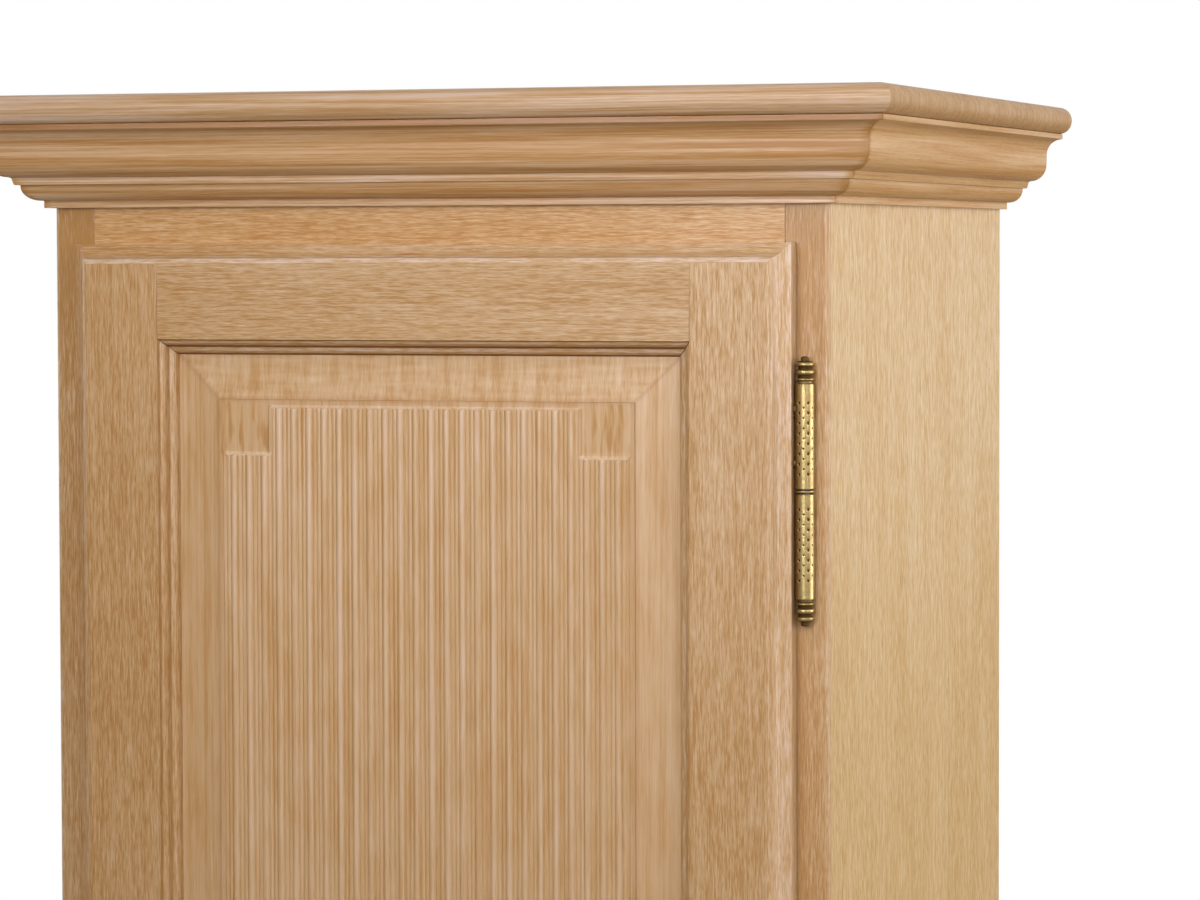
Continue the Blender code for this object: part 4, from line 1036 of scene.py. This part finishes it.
def punch(vert, marks, radius, depth):
    """Sink a point of a sleeve where it lies in a punched mark, and say how dark it is there."""
    x, y = vert.co.x - HINGE_AXIS[0], vert.co.y - HINGE_AXIS[1]
    if math.hypot(x, y) < KNUCKLE_RADIUS - 1e-6:
        return 0.0
    angle = math.atan2(y, x) - PUNCH_TURN
    column = round(angle / math.tau * PUNCH_COLUMNS)
    across = (angle - math.tau * column / PUNCH_COLUMNS) * KNUCKLE_RADIUS
    size = radius if column % 2 == 0 else radius * SMALL_PUNCH
    for height, staggered in marks:
        distance = math.hypot(across, vert.co.z - height) / size
        if staggered == column % 2 and distance < 1.0:
            hollow = math.sqrt(1.0 - distance**2)
            sink = 1.0 - depth * size / radius * hollow / KNUCKLE_RADIUS
            vert.co.x = HINGE_AXIS[0] + x * sink
            vert.co.y = HINGE_AXIS[1] + y * sink
            return min(1.0, hollow * PUNCH_SHADE)
    return 0.0


def brass_piece(node, bm, brass, recess=None):
    """A turned piece of brass."""
    make_piece(node, bm, [brass], "antique_brass", recess, CREASE_ANGLE)


def hinge_halves(name, brass, shape):
    """The two sleeves of a hinge, each with its two stems."""
    for half, run, sign, placer in (("frame_half", 1, 1.0, along_y), ("door_half", 0, -1.0, along_x)):
        node = f"{name}_{half}"
        low, high = (corner.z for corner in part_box(node))
        bm, recess = sleeve_mesh(low, high, high if sign > 0 else low, shape)
        root, end = (HINGE_AXIS[run] + sign * length for length in (STEM_ROOT, STEM_LENGTH))
        for side in (-1, 1):
            spot = placer(HINGE_AXIS[1 - run], (low + high) / 2 + side * STEM_SPACING / 2)
            add_rod(bm, STEM_RADIUS, root, end, spot)
        brass_piece(node, bm, brass, recess + [STEM_SHADE] * (len(bm.verts) - len(recess)))


def finials(name, brass):
    """The turned finials on both ends of a hinge, dark in their necks."""
    for end, sign in (("low", -1.0), ("high", 1.0)):
        node = f"{name}_finial_{end}"
        low, high = (corner.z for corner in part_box(node))
        tip = high if sign > 0 else low
        seat = tip - sign * (high - low - SPIGOT_LENGTH)
        length = abs(tip - seat)
        foot = seat - sign * SPIGOT_LENGTH
        outline = [(0, foot), (SPIGOT_RADIUS, foot), (SPIGOT_RADIUS, seat + sign * SEAT_GAP)]
        shades = [0.0] * 3
        for share, rise in smooth_outline(FINIAL_OUTLINE, 3):
            outline.append((KNUCKLE_RADIUS * share, seat + sign * (SEAT_GAP + (length - SEAT_GAP) * rise)))
            shades.append(max(0.0, min(1.0, (FINIAL_NECK - share) / 0.1)) if rise < FINIAL_BUD else BUD_SHADE)
        outline.append((0, tip))
        shades.append(BUD_SHADE)
        recess = []
        for (radius, _), shade in zip(outline, shades):
            recess += [shade] * (1 if radius == 0 else TURNED_SIDES)
        brass_piece(node, turned(outline, full_turn(TURNED_SIDES), along_z(*HINGE_AXIS)), brass, recess)


def ring(node, brass):
    """The ring between the two sleeves of a hinge."""
    low, high = (corner.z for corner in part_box(node))
    outline = [(HINGE_PIN_RADIUS, low)]
    outline += [(KNUCKLE_RADIUS - under, low + rise) for under, rise in RING_EDGE]
    outline.append((KNUCKLE_RADIUS + RING_BULGE, (low + high) / 2))
    outline += [(KNUCKLE_RADIUS - under, high - rise) for under, rise in reversed(RING_EDGE)]
    outline += [(HINGE_PIN_RADIUS, high), (HINGE_PIN_RADIUS, low)]
    bm = turned(outline, full_turn(TURNED_SIDES), along_z(*HINGE_AXIS))
    bmesh.ops.remove_doubles(bm, verts=bm.verts, dist=WELD_DISTANCE)
    recess = [float(min(vert.co.z - low, high - vert.co.z) < RING_SHADE) for vert in bm.verts]
    brass_piece(node, bm, brass, recess)


def screw_head_mesh(node, axis, sign, slotted):
    """A screw or tack with a domed head. The head lies at the sign end of its axis."""
    low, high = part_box(node)
    index = "XYZ".index(axis)
    middle = (low + high) / 2
    tip, crown = (low[index], high[index]) if sign > 0 else (high[index], low[index])
    head_radius = max((high - low)[i] for i in range(3) if i != index) / 2
    head_height = head_radius * HEAD_HEIGHT
    shank = head_radius * 0.5
    under = crown - sign * head_height
    outline = [(0, tip), (shank * 0.3, tip), (shank, tip + sign * shank)]
    outline += [(shank, under), (head_radius * HEAD_RIM, under)]
    rim = math.pi / 2 * HEAD_START
    for step in range(HEAD_STEPS):
        turn = math.pi / 2 * (HEAD_START + (1 - HEAD_START) * step / HEAD_STEPS)
        rise = (math.sin(turn) - math.sin(rim)) / (1 - math.sin(rim))
        reach = head_radius * math.cos(turn) / math.cos(rim)
        outline.append((reach, crown - sign * head_height * HEAD_DOME * (1 - rise)))
    outline.append((0, crown))
    place = {"X": along_x(middle.y, middle.z), "Y": along_y(middle.x, middle.z)}[axis]
    bm = turned(outline, full_turn(SCREW_SIDES), place)
    if slotted:
        middle[index] = crown
        cut_slot(bm, middle, index, head_radius)
    return bm


def cut_slot(bm, crown, index, head_radius):
    """Cut the driver's slot across a screw head."""
    bar = bmesh.new()
    bmesh.ops.create_cube(bar, size=1.0)
    size = [head_radius * 2.4] * 3
    size[index] = head_radius * SLOT_DEPTH
    size[2] = head_radius * SLOT_WIDTH
    bmesh.ops.scale(bar, verts=bar.verts, vec=size)
    bmesh.ops.translate(bar, verts=bar.verts, vec=crown)
    items = []
    for name, source in (("scratch_head", bm), ("scratch_knife", bar)):
        mesh = bpy.data.meshes.new(name)
        source.to_mesh(mesh)
        items.append(bpy.data.objects.new(name, mesh))
        bpy.context.scene.collection.objects.link(items[-1])
    head, knife = items
    bar.free()
    cutting = head.modifiers.new("slot", "BOOLEAN")
    cutting.operation = "DIFFERENCE"
    cutting.solver = "EXACT"
    cutting.object = knife
    bpy.context.view_layer.update()
    bm.clear()
    bm.from_mesh(head.evaluated_get(bpy.context.evaluated_depsgraph_get()).to_mesh())
    for item in items:
        mesh = item.data
        bpy.data.objects.remove(item)
        bpy.data.meshes.remove(mesh)


def key_mesh():
    """Key with a round-section bow, a beaded collar, a shank and a warded bit."""
    low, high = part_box("key")
    x, z = (low.x + high.x) / 2, (low.z + high.z) / 2
    bow_radius = (high.z - low.z) / 2
    bow_length = bow_radius * BOW_PROPORTION
    bow_y = low.y + bow_length
    start = low.y + 2 * bow_length
    root = start - BOW_BAND * 0.7
    shank = [(0, root), (SHANK_RADIUS, root), (SHANK_RADIUS, start + COLLAR_START)]
    shank += [(COLLAR_RADIUS * share, start + along) for share, along in COLLAR_OUTLINE]
    shank += [(SHANK_RADIUS, start + COLLAR_END), (SHANK_RADIUS, high.y - SHANK_EASING)]
    shank += [(SHANK_RADIUS * 0.8, high.y), (0, high.y)]
    bm = turned(shank, full_turn(SCREW_SIDES), along_y(x, z))
    tube = BOW_BAND / 2
    rings = []
    for angle in full_turn(BOW_SIDES):
        ring_points = []
        for turn in full_turn(BAND_SIDES):
            reach = -tube + tube * math.cos(turn)
            y = bow_y + (bow_length + reach) * math.cos(angle)
            up = z + (bow_radius + reach) * math.sin(angle)
            ring_points.append(bm.verts.new((x + BOW_HALF * math.sin(turn), y, up)))
        rings.append(ring_points)
    skin(bm, rings + rings[:1])
    add_bit(bm, x, z)
    return bm


def add_bit(bm, x, z):
    """Add the bit with its two ward cuts under the shank."""
    reach = z - BIT_REACH
    below = [vert.co.y for vert in frame["nodes"]["key"].data.vertices if abs(vert.co.z - reach) < 0.0002]
    near, far = min(below), max(below)
    top = z - SHANK_RADIUS * 0.5
    outline = [(near, top), (near, reach)]
    for start, end, shallower in WARD_CUTS:
        first, last = near + (far - near) * start, near + (far - near) * end
        ward = z - BIT_CUT + shallower
        outline += [(first, reach), (first, ward), (last, ward), (last, reach)]
    outline += [(far, reach), (far, top)]
    sides = [[bm.verts.new((x + out, y, height)) for y, height in outline] for out in (-BIT_HALF, BIT_HALF)]
    for side in sides:
        bm.faces.new(side)
    skin(bm, sides)


class HIGHBOARD_OT_carcass(bpy.types.Operator):
    """Finish the two sides, the rails and the top board"""

    bl_idname = "highboard.carcass"
    bl_label = "Carcass"

    def execute(self, context):
        woods, _, shape, _ = settings()
        for number, (node, sign) in enumerate((("side_left", -1), ("side_right", 1)), start=1):
            self.side(node, sign, number, woods, shape)
        for number, node in enumerate(("rail_top", "rail_bottom"), start=5):
            self.rail(node, number, woods, shape)
        self.top_board(woods, shape)
        return {"FINISHED"}

    def side(self, node, sign, number, woods, shape):
        """A side of sawn oak with a lipping of darker oak on its front edge."""
        tint = tinted(woods.oak_colour, *LIPPING_TINT)
        centre = (sign * 0.9, 0.3, 0.0)
        # The lipping gets painted shade beside the door and a darker band high up
        lipping = wood("oak_edge_" + node, "oak", "Z", tint, number * 3.1, centre, SIDE_SHADE_STRIPS)
        centre = (sign * 0.25, 0.9, 0.0)
        face = wood("oak_" + node, "sawn_oak", "Z", woods.side_colour, number * 1.7, centre)
        bm = solid(node)
        corner = Vector((sign * max(abs(vert.co.x) for vert in bm.verts), STILE_FRONT))

        def on_corner(edge):
            return all(max(map(abs, vert.co.xy - corner)) < CORNER_MATCH for vert in edge.verts)

        def off_front(edge):
            return any(vert.co.y >= STILE_FRONT + LIPPING_KEPT for vert in edge.verts)

        ease(bm, shape.corner_easing, 5, 0.2, on_corner)
        ease(bm, shape.board_easing, chosen=off_front)
        cut_at = STILE_FRONT + shape.corner_easing + LIPPING_MARGIN
        cut_across(bm, (0, cut_at, 0), (0, 1, 0))
        for item in bm.faces:
            item.material_index = int(item.calc_center_median().y < cut_at)
        make_piece(node, bm, [face, lipping], "side_wood")

    def rail(self, node, number, woods, shape):
        """A rail between the sides, closed up to the left one."""
        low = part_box(node)[0]
        tint = tinted(woods.rail_colour, *RAIL_TINT)
        finish = wood("oak_" + node, "oak", "X", tint, number * 2.3, (0.0, 1.2, low.z - 0.4))
        bm = solid(node)
        for vert in bm.verts:
            if vert.co.x < low.x + WELD_DISTANCE:
                vert.co.x -= JOINT_CLOSING
        ease(bm, shape.board_easing * 0.2)
        make_piece(node, bm, [finish], "front_wood")

    def top_board(self, woods, shape):
        """The top board with end grain on its two round-nosed ends."""
        # Paler, cooler top board: partly its own colour, partly painted sheen
        tint = tinted(woods.cornice_colour, *TOP_TINT)
        top = wood("fine_wood_top", "fine", "X", tint, 4.4, (0.0, 0.9, 1.05))
        tint = tinted(woods.cornice_colour, *END_TINT)
        end = wood("end_grain_top", "end", "Z", tint, 9.1, (0.9, 0.4, 0.0))
        bm = solid("top_board")
        ease(bm, shape.board_easing * 0.6)
        low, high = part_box("top_board")
        reach = high.x - (high.z - low.z) / 2
        for item in bm.faces:
            if abs(item.calc_center_median().x) > reach and abs(item.normal.x) > abs(item.normal.y):
                item.material_index = 1
        make_piece("top_board", bm, [top, end], "cornice_wood")


class HIGHBOARD_OT_mouldings(bpy.types.Operator):
    """Finish the mitred lengths of the cornice and the plinth"""

    bl_idname = "highboard.mouldings"
    bl_label = "Cornice and plinth"

    def execute(self, context):
        woods, _, shape, _ = settings()
        for row, (name, height) in enumerate((("cornice", 1.25), ("plinth", 0.05))):
            for run, hand in enumerate(("front", "left", "right")):
                node = f"{name}_{hand}"
                seed = 7.7 + row * 2.9 + run * 1.3
                look = ("calm", "Y", tinted(woods.cornice_colour, *RETURN_TINT))
                centre = (0.9, 0.0, height - 0.25)
                if hand == "front":
                    look = ("fine", "X", woods.cornice_colour)
                    centre = (0.0, 0.7, height - 0.2)
                finish = wood("fine_wood_" + node, *look, seed, centre, MITRE_STAINS)
                bm = solid(node)
                foot, top = (corner.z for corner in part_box(node))
                for vert in bm.verts:
                    if name == "cornice" and vert.co.z > top - WELD_DISTANCE:
                        vert.co.z += JOINT_CLOSING
                ease(bm, shape.moulding_easing)
                if node == "cornice_front":
                    self.mark_fillets(bm, foot, top)
                make_piece(node, bm, [finish], "cornice_wood")
        return {"FINISHED"}

    def mark_fillets(self, bm, foot, top):
        """Mark painted highlight on the two low front fillets of the front cornice and painted shade on its
        top fillet under the top board's nose, and halve the pale mark on its eased edges.
        """
        eased = bm.faces.layers.float["eased"]
        quirk = bm.faces.layers.float.new("quirk")
        bm.normal_update()
        for face in bm.faces:
            height = face.calc_center_median().z - foot
            face[eased] *= FOOT_SHEEN
            if face.normal.y > -0.5:
                continue
            # Painted highlight on the low front-facing fillets
            if height < FOOT_FILLET:
                face[eased] = FOOT_SHEEN
            elif STEP_FILLET[0] < height < STEP_FILLET[1]:
                face[eased] = 1.0
            # Painted shade on the top fillet under the top board's nose
            elif height > top - foot - TOP_FILLET:
                face[quirk] = TOP_FILLET_SHADE


class HIGHBOARD_OT_inside(bpy.types.Operator):
    """Finish the floor, ceiling, back and shelves with their pins"""

    bl_idname = "highboard.inside"
    bl_label = "Inside"

    def execute(self, context):
        woods, _, shape, _ = settings()
        _, steel = metals()
        boards = ("floor_board", "ceiling_board", "shelf_1", "shelf_2", "shelf_3", "back_panel")
        for number, node in enumerate(boards, start=1):
            grain, centre = "X", (0.0, 0.5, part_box(node)[0].z - 0.15)
            if node == "back_panel":
                grain, centre = "Z", (0.4, 0.8, 0.0)
            seed = 20 + number * 1.9
            finish = wood("plain_wood_" + node, "sawn_oak", grain, woods.inner_colour, seed, centre)
            eased_piece(node, finish, "inner_wood", shape.board_easing)
        for node in sorted(frame["nodes"]):
            if node.startswith("shelf_pin"):
                eased_piece(node, steel, "steel", shape.metal_easing * 2, shortest=0.0)
        return {"FINISHED"}


class HIGHBOARD_OT_door_frame(bpy.types.Operator):
    """Finish the stiles and rails of the door"""

    bl_idname = "highboard.door_frame"
    bl_label = "Door frame"

    def execute(self, context):
        woods, _, shape, _ = settings()
        members = {
            # Painted shade: the lock-side stile is a darker, warmer copy of the oak
            "door_stile_lock_side": ("Z", (-0.9, 0.5, 0.0), tinted(woods.oak_colour, *LOCK_STILE_SHADE_TINT)),
            "door_stile_hinge_side": ("Z", (0.8, 0.6, 0.0), woods.oak_colour),
            "door_rail_top": ("X", (0.0, 0.9, 0.9), woods.rail_colour),
            "door_rail_bottom": ("X", (0.0, 1.1, -0.2), woods.rail_colour),
        }
        self.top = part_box("door_rail_top")[1].z
        self.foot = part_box("door_rail_bottom")[0].z
        finishes = {}
        for number, (node, (grain, centre, colour)) in enumerate(members.items(), start=1):
            finishes[node] = wood("oak_" + node, "oak", grain, colour, 31 + number * 2.7, centre)
        rails = [finishes["door_rail_top"], finishes["door_rail_bottom"]]
        for node in members:
            bm = solid(node)
            self.slope_ledge(bm)
            if "rail" in node:
                self.close_moulding(bm, node)
            ease(bm, shape.moulding_easing * 0.8)
            if "stile" in node:
                self.run_moulding_over(bm, node)
            self.mark_profile(bm)
            make_piece(node, bm, [finishes[node]] + (rails if "stile" in node else []), "front_wood")
        return {"FINISHED"}

    def inset(self, place):
        """How far a place lies inside the door's outline."""
        return min(DOOR_HALF - abs(place.x), self.top - place.z, place.z - self.foot)

    def slope_ledge(self, bm):
        """Slope the ledge beside the door's flats, and bring the lapping rim's back closer to the carcass."""
        for vert in bm.verts:
            inset = self.inset(vert.co)
            if abs(vert.co.y - LEDGE_FRONT) < WELD_DISTANCE and inset < EDGE_MOULD_WIDTH:
                vert.co.y = SLOPE_FRONT if inset > EDGE_MOULD_WIDTH * 0.85 else SLOPE_REAR
        bmesh.ops.remove_doubles(bm, verts=bm.verts, dist=WELD_DISTANCE)
        for vert in bm.verts:
            if abs(vert.co.y - DOOR_BACK) < WELD_DISTANCE and self.inset(vert.co) < WELD_DISTANCE:
                vert.co.y += BACK_CLOSING

    def close_moulding(self, bm, node):
        """Bring the ends of a rail's edge moulding close to the stiles."""
        low, high = (corner.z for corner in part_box(node))
        for vert in bm.verts:
            inset = high - vert.co.z if node == "door_rail_top" else vert.co.z - low
            if inset < EDGE_MOULD_WIDTH + WELD_DISTANCE:
                vert.co.x += math.copysign(JOINT_CLOSING, vert.co.x)

    def run_moulding_over(self, bm, node):
        """Let the moulding along the door's head and foot keep the rails' grain where it crosses a stile."""
        low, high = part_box(node)
        outer = low.x if low.x < 0 else high.x
        for slot, (end, sign) in enumerate(((high.z, 1.0), (low.z, -1.0)), start=1):
            cut_across(bm, (outer, 0.0, end), (1.0, 0.0, sign if outer < 0 else -sign))
            cut_across(bm, (outer, 0.0, end - sign * EDGE_MOULD_WIDTH), (0.0, 0.0, 1.0))
            for face in bm.faces:
                middle = face.calc_center_median()
                below = (end - middle.z) * sign
                if below < EDGE_MOULD_WIDTH and below < abs(outer - middle.x):
                    face.material_index = slot

    def mark_profile(self, bm):
        """Mark painted sheen on the outer moulding, all across on the hinge side and on the inner slopes of
        the head, foot and lock side, painted light on the recessed front faces by the panel, and painted
        shade on the lock side's outer rim and on the sticking round the panel.
        """
        bm.normal_update()
        eased = bm.faces.layers.float["eased"]
        quirk = bm.faces.layers.float.new("quirk")
        for face in bm.faces:
            middle = face.calc_center_median()
            if not DOOR_FACE + 0.0001 < middle.y < STILE_FRONT - 0.001:
                continue
            inset = self.inset(middle)
            if inset < EDGE_MOULD_WIDTH:
                upright = inset == DOOR_HALF - abs(middle.x)
                # Painted sheen on the hinge side's outer moulding, a little less on its rim
                if upright and middle.x > 0:
                    face[eased] = RIM_SHEEN if inset < RIM_WIDTH else 1.0
                # Painted highlight on the inner slopes of the head, foot and lock side
                elif inset > EDGE_MOULD_WIDTH * 0.6:
                    face[eased] = SLOPE_SHEEN if upright else 1.0
                # Painted shade on the lock side's outer rim, turned from the lamps
                elif upright:
                    face[quirk] = RIM_SHADE
            # Painted shade on the sticking round the panel, darker the further a face turns from the front
            elif abs(face.normal.y) < 0.9:
                share = UPRIGHT_SHADE if abs(face.normal.x) > 0.3 else 1.0
                face[quirk] = min(1.0, (0.97 - abs(face.normal.y)) * 2.0) * share
            # Painted light on the recessed front faces by the panel, which lie in shade
            elif middle.y > DOOR_FACE + LEDGE_DEPTH:
                face[eased] = LEDGE_LIGHT


class HIGHBOARD_OT_door_panel(bpy.types.Operator):
    """Carve the raised panel with its bevel, band and reeds"""

    bl_idname = "highboard.door_panel"
    bl_label = "Door panel"

    def execute(self, context):
        woods, _, shape, _ = settings()
        finish = wood("fine_wood_panel", "panel", "Z", woods.panel_colour, 47.0, (0.55, 0.65, 0.0))
        bm = panel_mesh(PanelShape(shape.reed_facets))
        make_piece("door_panel", bm, [finish], "panel_wood", crease=CREASE_ANGLE)
        return {"FINISHED"}


class HIGHBOARD_OT_hinges(bpy.types.Operator):
    """Turn the two pin hinges with their punched sleeves, rings and finials"""

    bl_idname = "highboard.hinges"
    bl_label = "Hinges"

    def execute(self, context):
        _, _, shape, _ = settings()
        brass, steel = metals()
        for name in ("hinge_upper", "hinge_lower"):
            hinge_halves(name, brass, shape)
            finials(name, brass)
            ring(name + "_ring", brass)
            eased_piece(name + "_pin", steel, "steel", shape.metal_easing, shortest=0.0)
        return {"FINISHED"}


class HIGHBOARD_OT_lock(bpy.types.Operator):
    """Finish the lock, bolt, strike, plate, key and their fasteners"""

    bl_idname = "highboard.lock"
    bl_label = "Lock and key"

    def execute(self, context):
        _, _, shape, _ = settings()
        brass, steel = metals()
        for node, finish, slot, rounding in (
            ("lock_case", steel, "steel", 1.0),
            ("lock_bolt", steel, "steel", 1.0),
            ("lock_strike", brass, "antique_brass", 1.0),
            ("escutcheon", brass, "antique_brass", 1.6),
        ):
            eased_piece(node, finish, slot, shape.metal_easing * rounding, 3, 0.0009)
        for start, axis, sign, slotted, finish, slot in (
            ("escutcheon_tack", "Y", -1, False, brass, "antique_brass"),
            ("lock_screw", "Y", 1, True, steel, "steel"),
            ("strike_screw", "X", 1, True, brass, "antique_brass"),
        ):
            for node in sorted(frame["nodes"]):
                if node.startswith(start):
                    bm = screw_head_mesh(node, axis, sign, slotted)
                    make_piece(node, bm, [finish], slot, crease=CREASE_ANGLE)
        brass_piece("key", key_mesh(), brass)
        return {"FINISHED"}


class HIGHBOARD_OT_stage(bpy.types.Operator):
    """Set up the floor, the lamps, the room light and the camera"""

    bl_idname = "highboard.stage"
    bl_label = "Stage"

    def execute(self, context):
        studio = settings()[-1]
        self.floor(studio)
        self.lamps(studio)
        self.room(studio)
        self.camera(studio)
        context.scene.view_settings.view_transform = "Standard"
        return {"FINISHED"}

    def floor(self, studio):
        """A wide pale floor that keeps the cupboard's shadow."""
        mesh = bpy.data.meshes.new("studio_floor")
        reach = 12.0
        corners = [(-reach, -reach, 0), (reach, -reach, 0), (reach, reach, 0), (-reach, reach, 0)]
        mesh.from_pydata(corners, [], [(0, 1, 2, 3)])
        finish = Finish("studio_floor")
        place = finish.place()
        cloud = finish.noise(place * 1.5, 2.0)
        colour = tuple(studio.floor_colour)
        finish.set("Base Color", finish.mix(finish.spread(cloud, 0.3, 0.7), colour, tinted(colour, 0.985)))
        finish.set("Roughness", 0.75)
        seen = finish.node("ShaderNodeLightPath", output="Is Camera Ray")
        finish.show_white(seen * finish.spread(place.length(), 0.9, 2.6))
        mesh.materials.append(finish.material)
        item = bpy.data.objects.new("studio_floor", mesh)
        bpy.context.scene.collection.objects.link(item)
        item.location.z = -0.0005

    def lamps(self, studio):
        """Soft lamps before the door, off its hinge-side corner, above it and at both sides."""
        for name, place, target, size, power, spread in (
            ("front_lamp", (0.18, -1.75, 1.5), (0.15, -0.2, 1.2), 0.8, studio.front_power, 110),
            ("corner_lamp", (1.35, -1.25, 1.52), (0.2, -0.2, 1.2), 0.7, studio.corner_power, 180),
            ("upper_lamp", (0.0, -1.4, 2.4), (0.0, -0.2, 1.1), 0.6, studio.upper_power, 180),
            ("side_lamp", (2.0, 0.40, 1.30), (0.25, 0.0, 1.1), 1.4, studio.side_power, 180),
            ("far_lamp", (-2.0, 0.55, 1.30), (-0.25, 0.1, 0.8), 1.4, studio.far_power, 180),
        ):
            data = bpy.data.lights.new(name, "AREA")
            data.shape = "SQUARE"
            data.size = size
            data.energy = power
            data.spread = math.radians(spread)
            lamp = bpy.data.objects.new(name, data)
            bpy.context.scene.collection.objects.link(lamp)
            lamp.location = place
            lamp.rotation_euler = (Vector(target) - Vector(place)).to_track_quat("-Z", "Y").to_euler()

    def room(self, studio):
        """Even room light, with a white wall behind the cupboard for the camera and for mirrored rays."""
        world = bpy.data.worlds.new("room")
        bpy.context.scene.world = world
        world.use_nodes = True
        room = Nodes(world.node_tree)
        way = room.node("ShaderNodeTexCoord", output="Generated")
        depth = room.node("ShaderNodeSeparateXYZ", {}, {0: way}, "Y")
        wall = {"Value": depth, "From Min": -0.3, "From Max": 0.5, "To Min": studio.metal_view, "To Max": 1.0}
        behind = room.node("ShaderNodeMapRange", {}, wall)
        mirrored = room.node("ShaderNodeLightPath", output="Is Glossy Ray") * behind
        direct = room.node("ShaderNodeLightPath", output="Is Camera Ray")
        seen = direct.operate("MAXIMUM", direct, mirrored)
        lights = []
        for strength in (studio.sky_strength, 1.0):
            sockets = {"Color": (1.0, 1.0, 1.0), "Strength": strength}
            lights.append(room.node("ShaderNodeBackground", {}, sockets))
        choice = room.node("ShaderNodeMixShader", {}, {0: seen, 1: lights[0], 2: lights[1]})
        room.end_in("World Output", choice)

    def camera(self, studio):
        """The camera at the photograph's angle."""
        data = bpy.data.cameras.new("camera")
        data.lens = studio.lens
        data.sensor_width = 36.0
        data.sensor_fit = "HORIZONTAL"
        yaw, pitch, roll = studio.camera_turn
        turn = Matrix.Rotation(yaw, 4, "Z") @ Matrix.Rotation(math.pi / 2 - pitch, 4, "X")
        item = bpy.data.objects.new("camera", data)
        item.matrix_world = Matrix.Translation(studio.camera_place) @ turn @ Matrix.Rotation(roll, 4, "Z")
        bpy.context.scene.collection.objects.link(item)
        bpy.context.scene.camera = item


class HIGHBOARD_PT_panel(bpy.types.Panel):
    """Buttons that dress the highboard piece by piece"""

    bl_idname = "HIGHBOARD_PT_panel"
    bl_label = "Highboard"
    bl_space_type = "VIEW_3D"
    bl_region_type = "UI"
    bl_category = "Highboard"

    def draw(self, context):
        for group in settings():
            box = self.layout.box()
            for name in group.__annotations__:
                box.prop(group, name)
        for operator in OPERATORS:
            self.layout.operator(operator.bl_idname)


GROUPS = {
    "highboard_wood": WoodSettings,
    "highboard_metal": MetalSettings,
    "highboard_shape": ShapeSettings,
    "highboard_studio": StudioSettings,
}
OPERATORS = (
    HIGHBOARD_OT_carcass,
    HIGHBOARD_OT_mouldings,
    HIGHBOARD_OT_inside,
    HIGHBOARD_OT_door_frame,
    HIGHBOARD_OT_door_panel,
    HIGHBOARD_OT_hinges,
    HIGHBOARD_OT_lock,
    HIGHBOARD_OT_stage,
)


def register():
    """Make the settings, operators and panel known to Blender."""
    for name, group in GROUPS.items():
        bpy.utils.register_class(group)
        setattr(bpy.types.Scene, name, PointerProperty(type=group))
    for item in (*OPERATORS, HIGHBOARD_PT_panel):
        bpy.utils.register_class(item)


def unregister():
    """Take the panel, operators and settings away again."""
    for item in (HIGHBOARD_PT_panel, *reversed(OPERATORS)):
        bpy.utils.unregister_class(item)
    for name, group in reversed(GROUPS.items()):
        delattr(bpy.types.Scene, name)
        bpy.utils.unregister_class(group)


def main():
    """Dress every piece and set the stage."""
    register()
    bpy.ops.highboard.carcass()
    bpy.ops.highboard.mouldings()
    bpy.ops.highboard.inside()
    bpy.ops.highboard.door_frame()
    bpy.ops.highboard.door_panel()
    bpy.ops.highboard.hinges()
    bpy.ops.highboard.lock()
    bpy.ops.highboard.stage()


if __name__ == "__main__":
    main()
